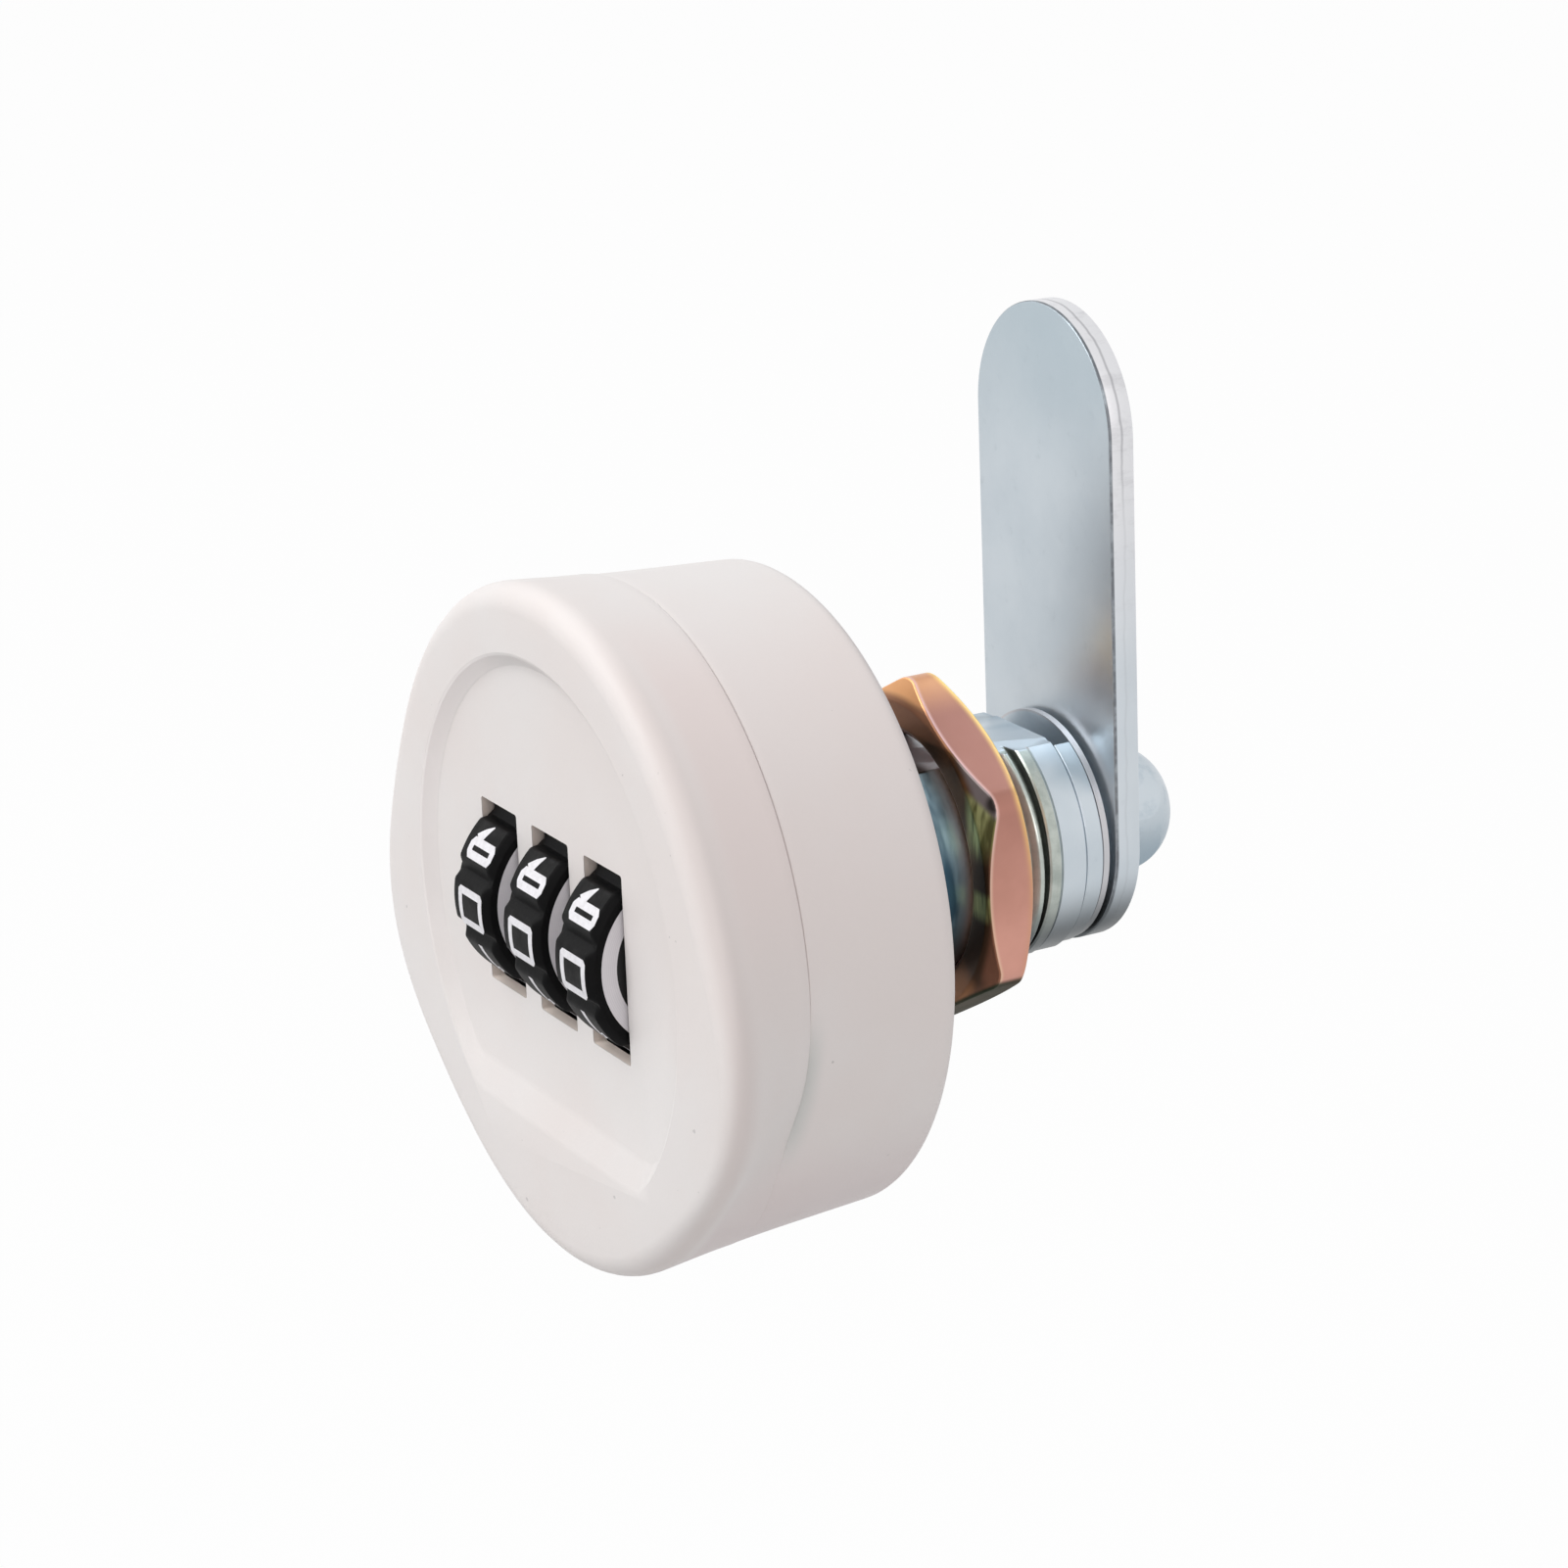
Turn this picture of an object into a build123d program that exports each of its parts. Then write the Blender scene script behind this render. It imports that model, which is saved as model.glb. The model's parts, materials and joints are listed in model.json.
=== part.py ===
from build123d import *
import os
from math import copysign, cos, exp, pi, radians, sin, sqrt

# Cabinet cam lock with a round three-dial knob, in millimetres.
# The lock axis is Y, the knob faces -Y, the cam points up along +Z when locked.
# The origin is on the lock axis in the panel plane, which is the rear face of the knob.

# Knob cover, the front part that the fingers turn
FACE_Y = -20.3
RECESS_DEPTH = 1.0
FLOOR_THICKNESS = 1.6
WINDOW_RIM_THICKNESS = 1.0
PARTING_Y = -12.3
COVER_RADIUS = 25.45
COVER_REAR_TAPER = 0.7
COVER_EDGE_FILLET = 2.0
COVER_WALL = 3.55
EAR_HEIGHT = 2.9
EAR_ANGLE = 103
EAR_SPREAD = 23
SCOOP_DEPTH = 1.5
SCOOP_ANGLE = 120
SCOOP_SPREAD = 17
RECESS_RIM = 5.15
RECESS_WALL_RUN = 1.0
RECESS_CHORD_Z = -15.7
RECESS_CHORD_RUN = 2.5
RECESS_CORNER = 1.6
BOSS_RADIUS = 2.2
BOSS_INSET = 3.0
BOSS_ANGLES = (42, 138, 222, 318)

# Base ring, the fixed rear part of the knob
TURNING_GAP = 0.25
RING_STEP = 0.15
RING_TAPER = 0.7
RING_REAR_FILLET = 1.0
RING_SCOOP_DEPTH = 1.0
RING_BLEND_Y = -6.5
RING_WALL = 2.3
RING_FLOOR_THICKNESS = 2.8
SIDE_CLEARANCE = 0.3

# Dial wheels and what turns with them
DIAL_COUNT = 3
DIAL_PITCH = 8.21
DIAL_RISE = 0.25
DIAL_AXIS_Y = -14.65
DIAL_RADIUS = 7.6
DIAL_WIDTH = 5.3
DIAL_FACETS = 10
FACET_GROOVE_DEPTH = 0.55
FACET_GROOVE_RADIUS = 1.3
DIAL_CHAMFER = 0.8
WINDOW_WIDTH = 5.75
WINDOW_HEIGHT = 14.1
FIT = 0.05
SLEEVE_RADIUS = 6.45
HUB_RADIUS = 5.25
HUB_RECESS = 0.3
DISC_RADIUS = 3.3
DISC_REACH = 1.6
GATE_WIDTH = 2.4
GATE_DEPTH = 1.0
AXLE_RADIUS = 1.25

# Inner frame of the knob, which carries the dials and the locking slider
DRUM_REAR_Y = -3.1
CHEEK_THICKNESS = 2.2
CHEEK_HALF_HEIGHT = 4.5
POCKET_SIDE_CLEARANCE = 0.35
SCREW_RADIUS = 0.95
SCREW_HEAD_RADIUS = 1.75
SCREW_HEAD_THICKNESS = 0.55
SCREW_HEAD_RECESS = 1.5
SCREW_SLOT_WIDTH = 0.5
SCREW_GRIP = 3.0

# Locking slider, its spring and the dial detent spring
SLIDER_THICKNESS = 1.0
SLIDER_HALF_HEIGHT = 1.5
SLIDER_STROKE = 0.9
TOOTH_THICKNESS = 1.0
TOOTH_INSET = 0.4
TOOTH_GAP = 0.15
TAIL_STEP = 1.1
TAIL_WIDTH = 2.0
TAIL_GAP = 0.1
SPRING_X = -12.9
SPRING_RADIUS = 1.1
SPRING_WIRE_RADIUS = 0.2
SPRING_TURNS = 4
SPRING_LENGTH = 2.8
SPRING_HOLE_RADIUS = 1.6
DETENT_THICKNESS = 0.3
DETENT_FINGER_WIDTH = 2.4
DETENT_FINGER_REACH = 1.0
DETENT_ROOT = 0.5
DETENT_GAP = 0.4

# Threaded barrel with its flange, flats and rotation stop
BARREL_RADIUS = 9.5
BARREL_FLAT_DEPTH = 1.5
BARREL_FLANGE_WIDTH = 3.3
BARREL_FLANGE_THICKNESS = 1.2
THREAD_END_Y = 17.8
LAND_STEP = 0.2
LAND_END_Y = 20.2
STOP_RING_STEP = 0.5
STOP_RING_WIDTH = 2.7
STOP_RING_LENGTH = 1.4
STOP_GAP_START = 31
TURN_ANGLE = 90
STOP_TAB_ANGLE = 36
STOP_TAB_INSET = 0.2
STOP_PLAY = 1
FLANGE_SCREW_STEP = 1.5
FLANGE_SCREW_HEAD = 1.45
FLANGE_SCREW_RECESS = 0.6
FLANGE_SCREW_LENGTH = 1.7

# Spindle, washers, cam, bolt and nut
SPINDLE_RADIUS = 5.0
SPINDLE_FLANGE_RADIUS = 8.0
SPINDLE_FLANGE_THICKNESS = 1.2
SPINDLE_SQUARE = 7.0
SQUARE_CORNER_RADIUS = 4.6
SQUARE_SETBACK = 0.1
SPINDLE_SCREW_RADIUS = 0.6
SPINDLE_SCREW_HEAD = 1.1
SPINDLE_SCREW_PLACE_RADIUS = 6.5
SPINDLE_SCREW_RECESS = 0.6
SPINDLE_SCREW_LENGTH = 1.9
STOP_WASHER_THICKNESS = 0.5
STOP_WASHER_GAP = 0.1
STOP_WASHER_INSET = 0.15
SPACER_RADIUS = 7.4
CAM_FRONT_Y = 22.67
CAM_THICKNESS = 2.2
CAM_WIDTH = 18.0
CAM_REACH = 39.95
LOCK_WASHER_RADIUS = 4.7
LOCK_WASHER_THICKNESS = 1.2
LOCK_WASHER_SPLIT = 0.5
LOCK_WASHER_SPLIT_ANGLE = 62
LOCK_WASHER_SPLIT_SLANT = 35
BOLT_RADIUS = 2.5
BOLT_HEAD_RADIUS = 4.9
BOLT_HEAD_FLATS = 8.9
BOLT_HEAD_END_RADIUS = 2.5
BOLT_HEAD_END_Y = 31.8
BOLT_HEAD_BAND_Y = 28.1
BOLT_SOCKET = 3.0
BOLT_SOCKET_DEPTH = 2.2
BOLT_DEPTH = 12.0
BOLT_LENGTH = 12.2
NUT_WALL = 2.5
NUT_FRONT_Y = 9.64
NUT_THICKNESS = 4.0
NUT_CHAMFER = 1.1
NUT_CHAMFER_OVERLAP = 0.3
NUT_CORNER_RADIUS = 2.0

# Sizes worked out from those above
COVER_REAR_RADIUS = COVER_RADIUS - COVER_REAR_TAPER
COVER_CAVITY_RADIUS = COVER_REAR_RADIUS - COVER_WALL
BOSS_CIRCLE_RADIUS = COVER_CAVITY_RADIUS - BOSS_INSET
RECESS_RADIUS = COVER_RADIUS - RECESS_RIM
RING_FRONT_RADIUS = COVER_REAR_RADIUS - RING_STEP
RING_REAR_RADIUS = RING_FRONT_RADIUS - RING_TAPER
RING_CAVITY_RADIUS = RING_FRONT_RADIUS - RING_WALL
DRUM_RADIUS = RING_CAVITY_RADIUS - SIDE_CLEARANCE
BARREL_FLATS = 2 * (BARREL_RADIUS - BARREL_FLAT_DEPTH)
BARREL_FLANGE_RADIUS = BARREL_RADIUS + BARREL_FLANGE_WIDTH
LAND_RADIUS = BARREL_RADIUS - LAND_STEP
STOP_RING_RADIUS = BARREL_RADIUS - STOP_RING_STEP
STOP_RING_INNER_RADIUS = STOP_RING_RADIUS - STOP_RING_WIDTH
STOP_WASHER_RADIUS = STOP_RING_RADIUS - STOP_WASHER_INSET
FLANGE_SCREW_PLACE_RADIUS = BARREL_RADIUS + FLANGE_SCREW_STEP
TAIL_X = BARREL_RADIUS + TAIL_STEP
POCKET_HALF_HEIGHT = DIAL_RADIUS + DETENT_THICKNESS + DETENT_GAP
NUT_FLATS = 2 * (BARREL_RADIUS + NUT_WALL)
FLOOR_Y = FACE_Y + RECESS_DEPTH
FLOOR_BACK_Y = FLOOR_Y + FLOOR_THICKNESS
RING_FRONT_Y = PARTING_Y + TURNING_GAP
BARREL_FRONT_Y = -RING_FLOOR_THICKNESS
STOP_RING_END_Y = LAND_END_Y + STOP_RING_LENGTH
STOP_WASHER_Y = STOP_RING_END_Y + STOP_WASHER_GAP
SPACER_Y = STOP_WASHER_Y + STOP_WASHER_THICKNESS
CAM_REAR_Y = CAM_FRONT_Y + CAM_THICKNESS
BOLT_SEAT_Y = CAM_REAR_Y + LOCK_WASHER_THICKNESS
BOLT_TIP_Y = BOLT_SEAT_Y - BOLT_LENGTH
DIAL_CENTRES = [DIAL_PITCH * (n - (DIAL_COUNT - 1) / 2) for n in range(DIAL_COUNT)]
DIAL_HALF = DIAL_WIDTH / 2
DISC_END = DIAL_HALF + DISC_REACH
POCKET_LEFT = DIAL_CENTRES[0] - DIAL_HALF - POCKET_SIDE_CLEARANCE
POCKET_RIGHT = DIAL_CENTRES[-1] + DISC_END + POCKET_SIDE_CLEARANCE
CHEEK_LEFT = POCKET_LEFT - CHEEK_THICKNESS
CHEEK_RIGHT = POCKET_RIGHT + CHEEK_THICKNESS
DIAL_REAR_Y = DIAL_AXIS_Y + DIAL_RADIUS
POCKET_FLOOR_Y = DIAL_REAR_Y + SIDE_CLEARANCE
TOOTH_TIP_Y = DIAL_AXIS_Y + DISC_RADIUS + TOOTH_GAP
SLIDER_FRONT_Y = POCKET_FLOOR_Y
SLIDER_REAR_Y = SLIDER_FRONT_Y + SLIDER_THICKNESS
TAIL_TIP_Y = BARREL_FRONT_Y - TAIL_GAP
CARRIER_SCREW_SEAT = DRUM_REAR_Y - SCREW_HEAD_RECESS
CARRIER_SCREW_TIP = PARTING_Y - SCREW_GRIP
FLANGE_SCREW_SEAT = BARREL_FRONT_Y + FLANGE_SCREW_RECESS
FLANGE_SCREW_TIP = FLANGE_SCREW_SEAT + FLANGE_SCREW_LENGTH
SPINDLE_FRONT_Y = DRUM_REAR_Y - SPINDLE_FLANGE_THICKNESS
SPINDLE_SCREW_SEAT = DRUM_REAR_Y - SPINDLE_SCREW_RECESS
SPINDLE_SCREW_TIP = SPINDLE_SCREW_SEAT - SPINDLE_SCREW_LENGTH

parts = {}


def at_y(y):
    """Sketch plane across the lock axis: local x is X, local y is Z, and extrusion goes to -Y"""
    return Plane(origin=(0, y, 0), x_dir=(1, 0, 0), z_dir=(0, -1, 0))


def rod(radius, start, end, x=0.0, z=0.0):
    """Cylinder along the lock axis"""
    return Pos(x, (start + end) / 2, z) * Rot(90, 0, 0) * Cylinder(radius, end - start)


def cross_rod(radius, start, end, y, z):
    """Cylinder along X, the direction of the dial axle"""
    return Pos((start + end) / 2, y, z) * Rot(0, 90, 0) * Cylinder(radius, end - start)


def block(x0, x1, y0, y1, z0, z1):
    """Box between two corners"""
    return Pos((x0 + x1) / 2, (y0 + y1) / 2, (z0 + z1) / 2) * Box(x1 - x0, y1 - y0, z1 - z0)


def polar(radius, degrees):
    """Point (x, z) at a clock angle from the top"""
    return radius * sin(radians(degrees)), radius * cos(radians(degrees))


def swell(angle, centre, spread):
    """Smooth hump of height 1 at a clock angle"""
    return exp(-(((angle - centre) / spread) ** 2))


def front_radius(degrees):
    """Outline of the cover's front: round, with a finger ear on each side"""
    angle = abs((degrees + 180) % 360 - 180)
    return COVER_RADIUS + EAR_HEIGHT * swell(angle, EAR_ANGLE, EAR_SPREAD)


def rear_radius(degrees):
    """Outline of the cover's rear edge: round, scooped behind each ear"""
    angle = abs((degrees + 180) % 360 - 180)
    return COVER_REAR_RADIUS - SCOOP_DEPTH * swell(angle, SCOOP_ANGLE, SCOOP_SPREAD)


def outline(y, radius_at):
    """Closed smooth face at depth y with the given radius at each clock angle"""
    points = [(polar(radius_at(a), a)) for a in range(0, 360, 12)]
    edge = Spline([(x, y, z) for x, z in points], periodic=True)
    return Face(Wire([edge]))


def recess_face(y, radius, chord_z):
    """Round face cut off straight along the bottom, with rounded corners"""
    half = sqrt(radius**2 - chord_z**2)
    arc = ThreePointArc((-half, chord_z), (0, radius), (half, chord_z))
    sketch = make_face([arc, Line((half, chord_z), (-half, chord_z))])
    return at_y(y) * fillet(sketch.vertices(), RECESS_CORNER)


def front_cover():
    """Turning cap: lofted grip outline, rounded front edge, dished face, three windows"""
    body = loft([outline(FACE_Y, front_radius), outline(PARTING_Y, rear_radius)])
    front_edge = body.edges().sort_by(Axis.Y)[0]
    body = fillet(front_edge, COVER_EDGE_FILLET)
    mouth = recess_face(FACE_Y, RECESS_RADIUS, RECESS_CHORD_Z)
    floor = recess_face(FLOOR_Y, RECESS_RADIUS - RECESS_WALL_RUN, RECESS_CHORD_Z + RECESS_CHORD_RUN)
    body -= loft([mouth, floor], ruled=True)
    body -= rod(COVER_CAVITY_RADIUS, FLOOR_BACK_Y, PARTING_Y)
    relief = FLOOR_Y + WINDOW_RIM_THICKNESS
    z0, z1 = DIAL_RISE - POCKET_HALF_HEIGHT, DIAL_RISE + POCKET_HALF_HEIGHT
    body -= block(CHEEK_LEFT - FIT, CHEEK_RIGHT + FIT, relief, PARTING_Y, z0, z1)
    for centre in DIAL_CENTRES:
        half = WINDOW_WIDTH / 2
        low = DIAL_RISE - WINDOW_HEIGHT / 2
        body -= block(centre - half, centre + half, FACE_Y, PARTING_Y, low, low + WINDOW_HEIGHT)
    for angle in BOSS_ANGLES:
        x, z = polar(BOSS_CIRCLE_RADIUS, angle)
        body += rod(BOSS_RADIUS, FLOOR_BACK_Y, PARTING_Y, x, z)
        body -= rod(SCREW_RADIUS, FLOOR_BACK_Y, PARTING_Y, x, z)
    return body


def carrier_frame():
    """Inner drum with the dial pocket, the axle cheeks and the seats for slider and spindle"""
    body = rod(DRUM_RADIUS, PARTING_Y, DRUM_REAR_Y)
    front = FLOOR_Y + WINDOW_RIM_THICKNESS + SIDE_CLEARANCE
    z0, z1 = DIAL_RISE - CHEEK_HALF_HEIGHT, DIAL_RISE + CHEEK_HALF_HEIGHT
    body += block(CHEEK_LEFT, POCKET_LEFT, front, PARTING_Y, z0, z1)
    body += block(POCKET_RIGHT, CHEEK_RIGHT, front, PARTING_Y, z0, z1)
    low, high = DIAL_RISE - POCKET_HALF_HEIGHT, DIAL_RISE + POCKET_HALF_HEIGHT
    body -= block(POCKET_LEFT, POCKET_RIGHT, PARTING_Y, POCKET_FLOOR_Y, low, high)
    body -= cross_rod(AXLE_RADIUS, CHEEK_LEFT, CHEEK_RIGHT, DIAL_AXIS_Y, DIAL_RISE)
    z0, z1 = DIAL_RISE - SLIDER_HALF_HEIGHT - FIT, DIAL_RISE + SLIDER_HALF_HEIGHT + FIT
    slot_floor = SLIDER_REAR_Y + SLIDER_STROKE + FIT
    left = SPRING_X - SLIDER_HALF_HEIGHT - FIT
    body -= block(left, POCKET_RIGHT, SLIDER_FRONT_Y, slot_floor, z0, z1)
    tail = TAIL_WIDTH / 2 + FIT
    body -= block(TAIL_X - tail, TAIL_X + tail, SLIDER_REAR_Y, DRUM_REAR_Y, z0, z1)
    body -= rod(SPRING_HOLE_RADIUS, SLIDER_FRONT_Y - SPRING_LENGTH, SLIDER_FRONT_Y, SPRING_X, DIAL_RISE)
    body -= rod(SPINDLE_FLANGE_RADIUS + FIT, SPINDLE_FRONT_Y, DRUM_REAR_Y)
    for x, z in spindle_screw_places():
        body -= rod(SPINDLE_SCREW_RADIUS, SPINDLE_SCREW_TIP, SPINDLE_FRONT_Y, x, z)
    for angle in BOSS_ANGLES:
        x, z = polar(BOSS_CIRCLE_RADIUS, angle)
        body -= rod(SCREW_RADIUS + FIT, PARTING_Y, DRUM_REAR_Y, x, z)
        body -= rod(SCREW_HEAD_RADIUS + FIT, CARRIER_SCREW_SEAT, DRUM_REAR_Y, x, z)
    return body


def ring_radius(degrees):
    """Outline of the ring's front edge, scooped where the cover is"""
    angle = abs((degrees + 180) % 360 - 180)
    return RING_FRONT_RADIUS - RING_SCOOP_DEPTH * swell(angle, SCOOP_ANGLE, SCOOP_SPREAD)


def base_ring():
    """Fixed rear housing: tapered round shell with a floor that seats on the panel"""
    share = (RING_BLEND_Y - RING_FRONT_Y) / -RING_FRONT_Y
    blend_radius = RING_FRONT_RADIUS - (RING_FRONT_RADIUS - RING_REAR_RADIUS) * share
    corners = [(0, RING_BLEND_Y), (blend_radius, RING_BLEND_Y), (RING_REAR_RADIUS, 0), (0, 0)]
    rear = revolve(make_face(Polyline(corners, close=True)), Axis.Y)
    body = fillet(rear.edges().sort_by(Axis.Y)[-1], RING_REAR_FILLET)
    blend = Plane(origin=(0, RING_BLEND_Y, 0), x_dir=(0, 0, 1), z_dir=(0, 1, 0)) * Circle(blend_radius)
    body += loft([outline(RING_FRONT_Y, ring_radius), blend.face()])
    body -= rod(RING_CAVITY_RADIUS, RING_FRONT_Y, -RING_FLOOR_THICKNESS)
    body -= rod(BARREL_FLANGE_RADIUS + FIT, BARREL_FRONT_Y, BARREL_FRONT_Y + BARREL_FLANGE_THICKNESS)
    reach = BARREL_RADIUS + FIT
    half = BARREL_FLATS / 2 + FIT
    body -= rod(reach, BARREL_FRONT_Y, 0) & block(-reach, reach, BARREL_FRONT_Y, 0, -half, half)
    for x, z in flange_screw_places():
        body -= rod(SCREW_RADIUS, BARREL_FRONT_Y, FLANGE_SCREW_TIP, x, z)
    return body


def flange_screw_places():
    """Places of the three screws that hold the barrel flange"""
    return [polar(FLANGE_SCREW_PLACE_RADIUS, a) for a in (0, 150, 210)]


def barrel():
    """Cast barrel: flange, threaded body with two flats, plain land and the rotation stop ring"""
    flats = BARREL_FLATS / 2
    body = rod(BARREL_RADIUS, BARREL_FRONT_Y, THREAD_END_Y)
    body += rod(LAND_RADIUS, THREAD_END_Y, LAND_END_Y)
    start = STOP_GAP_START
    end = start + 360 - (TURN_ANGLE + STOP_TAB_ANGLE + 2 * STOP_PLAY)
    body += ring_sector(STOP_RING_INNER_RADIUS, STOP_RING_RADIUS, LAND_END_Y, STOP_RING_END_Y, start, end)
    body &= block(-BARREL_RADIUS, BARREL_RADIUS, BARREL_FRONT_Y, STOP_RING_END_Y, -flats, flats)
    body += rod(BARREL_FLANGE_RADIUS, BARREL_FRONT_Y, BARREL_FRONT_Y + BARREL_FLANGE_THICKNESS)
    body -= rod(SPINDLE_RADIUS + FIT, BARREL_FRONT_Y, STOP_RING_END_Y)
    tail = TAIL_WIDTH / 2 + 2 * FIT
    low = DIAL_RISE - SLIDER_HALF_HEIGHT - 2 * FIT
    high = DIAL_RISE + SLIDER_HALF_HEIGHT + 2 * FIT
    body -= block(TAIL_X - tail, TAIL_X + tail, BARREL_FRONT_Y, BARREL_FRONT_Y + SLIDER_STROKE, low, high)
    for x, z in flange_screw_places():
        body -= rod(SCREW_RADIUS + FIT, BARREL_FRONT_Y, BARREL_FRONT_Y + BARREL_FLANGE_THICKNESS, x, z)
        body -= rod(FLANGE_SCREW_HEAD + FIT, BARREL_FRONT_Y, FLANGE_SCREW_SEAT, x, z)
    return body


def ring_sector(inner, outer, y0, y1, start, end):
    """Part of a ring between two clock angles"""
    a, b = 90 - end, 90 - start
    sketch = Sketch() + make_face(
        [
            CenterArc((0, 0), outer, a, b - a),
            Line(arc_point(outer, b), arc_point(inner, b)),
            CenterArc((0, 0), inner, a, b - a),
            Line(arc_point(inner, a), arc_point(outer, a)),
        ]
    )
    return extrude(at_y(y1) * sketch, y1 - y0)


def arc_point(radius, degrees):
    """Point on a circle at an angle from the first axis"""
    return radius * cos(radians(degrees)), radius * sin(radians(degrees))


def screw_set(places, seat, tip, radius, head_radius):
    """Slotted screws along the lock axis, from the seat of the head to the tip"""
    top = seat + copysign(SCREW_HEAD_THICKNESS, seat - tip)
    cut = SCREW_HEAD_THICKNESS / 2
    half = SCREW_SLOT_WIDTH / 2
    screws = []
    for x, z in places:
        body = rod(radius, min(seat, tip), max(seat, tip), x, z)
        body += rod(head_radius, min(seat, top), max(seat, top), x, z)
        body -= block(x - head_radius, x + head_radius, top - cut, top + cut, z - half, z + half)
        screws.append(body)
    return Compound(children=screws)


def carrier_screws():
    """Four screws that hold the carrier frame to the front cover"""
    places = [polar(BOSS_CIRCLE_RADIUS, a) for a in BOSS_ANGLES]
    return screw_set(places, CARRIER_SCREW_SEAT, CARRIER_SCREW_TIP, SCREW_RADIUS, SCREW_HEAD_RADIUS)


def flange_screws():
    """Three screws that hold the barrel flange to the base ring"""
    places = flange_screw_places()
    return screw_set(places, FLANGE_SCREW_SEAT, FLANGE_SCREW_TIP, SCREW_RADIUS, FLANGE_SCREW_HEAD)


def spindle_screws():
    """Four screws that hold the spindle to the carrier frame"""
    places = spindle_screw_places()
    return screw_set(places, SPINDLE_SCREW_SEAT, SPINDLE_SCREW_TIP, SPINDLE_SCREW_RADIUS, SPINDLE_SCREW_HEAD)


def dial_wheel(centre):
    """Number wheel: ten raised facets between concave grooves, bevelled on both sides"""
    wheel = cross_rod(DIAL_RADIUS, centre - DIAL_HALF, centre + DIAL_HALF, DIAL_AXIS_Y, DIAL_RISE)
    wheel = chamfer(wheel.edges().filter_by(GeomType.CIRCLE), DIAL_CHAMFER)
    step = 360 / DIAL_FACETS
    reach = DIAL_RADIUS - FACET_GROOVE_DEPTH + FACET_GROOVE_RADIUS
    for n in range(DIAL_FACETS):
        angle = radians((n + 0.5) * step)
        y = DIAL_AXIS_Y - reach * cos(angle)
        z = DIAL_RISE + reach * sin(angle)
        wheel -= cross_rod(FACET_GROOVE_RADIUS, centre - DIAL_HALF, centre + DIAL_HALF, y, z)
    return wheel - cross_rod(SLEEVE_RADIUS, centre - DIAL_HALF, centre + DIAL_HALF, DIAL_AXIS_Y, DIAL_RISE)


def code_sleeve(centre):
    """Light sleeve inside a wheel, whose edge shows as a pale ring beside the numerals"""
    start, end = centre - DIAL_HALF, centre + DIAL_HALF
    tube = cross_rod(SLEEVE_RADIUS, start, end, DIAL_AXIS_Y, DIAL_RISE)
    return tube - cross_rod(HUB_RADIUS, start, end, DIAL_AXIS_Y, DIAL_RISE)


def code_disc(centre):
    """Dark hub with the gated disc that the locking slider reads"""
    start, end = centre - DIAL_HALF, centre + DISC_END
    hub = cross_rod(HUB_RADIUS, start + HUB_RECESS, centre + DIAL_HALF - HUB_RECESS, DIAL_AXIS_Y, DIAL_RISE)
    hub += cross_rod(DISC_RADIUS, start, end, DIAL_AXIS_Y, DIAL_RISE)
    hub -= cross_rod(AXLE_RADIUS + FIT, start, end, DIAL_AXIS_Y, DIAL_RISE)
    rim = DIAL_AXIS_Y + DISC_RADIUS
    gate = GATE_WIDTH / 2
    return hub - block(centre + DIAL_HALF, end, rim - GATE_DEPTH, rim, DIAL_RISE - gate, DIAL_RISE + gate)


def dial_axle():
    """Plain steel pin on which the code discs turn"""
    return cross_rod(AXLE_RADIUS, CHEEK_LEFT, CHEEK_RIGHT, DIAL_AXIS_Y, DIAL_RISE)


def locking_slider():
    """Bar behind the dials with a tooth for each gate and a tail for the barrel flange"""
    low, high = DIAL_RISE - SLIDER_HALF_HEIGHT, DIAL_RISE + SLIDER_HALF_HEIGHT
    left = SPRING_X - SLIDER_HALF_HEIGHT
    right = DIAL_CENTRES[-1] + DISC_END
    body = block(left, right, SLIDER_FRONT_Y, SLIDER_REAR_Y, low, high)
    for centre in DIAL_CENTRES:
        middle = centre + (DIAL_HALF + DISC_END) / 2
        x0, x1 = middle - TOOTH_THICKNESS / 2, middle + TOOTH_THICKNESS / 2
        body += block(x0, x1, TOOTH_TIP_Y, SLIDER_FRONT_Y, low + TOOTH_INSET, high - TOOTH_INSET)
    half = TAIL_WIDTH / 2
    body += block(TAIL_X - half, TAIL_X + half, SLIDER_REAR_Y, TAIL_TIP_Y, low, high)
    return body


def slider_spring():
    """Small compression spring that pushes the slider to the rear"""
    start = SLIDER_FRONT_Y - SPRING_LENGTH + SPRING_WIRE_RADIUS
    height = SPRING_LENGTH - 2 * SPRING_WIRE_RADIUS
    path = Helix(height / SPRING_TURNS, height, SPRING_RADIUS)
    section = Plane(origin=path @ 0, z_dir=path % 0) * Circle(SPRING_WIRE_RADIUS)
    coil = sweep(section, path=path, is_frenet=True)
    return Pos(SPRING_X, start, DIAL_RISE) * Rot(-90, 0, 0) * coil


def detent_spring():
    """Leaf spring under the dials, with one finger and a rounded nib for each wheel"""
    low = DIAL_RISE - POCKET_HALF_HEIGHT
    high = low + DETENT_THICKNESS
    root = PARTING_Y + DETENT_ROOT
    body = block(POCKET_LEFT, POCKET_RIGHT, root, POCKET_FLOOR_Y, low, high)
    for centre in DIAL_CENTRES:
        x0, x1 = centre - DETENT_FINGER_WIDTH / 2, centre + DETENT_FINGER_WIDTH / 2
        body += block(x0, x1, DIAL_AXIS_Y - DETENT_FINGER_REACH, root, low, high)
        body += cross_rod(DETENT_THICKNESS, x0, x1, DIAL_AXIS_Y, high)
    return body


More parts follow.
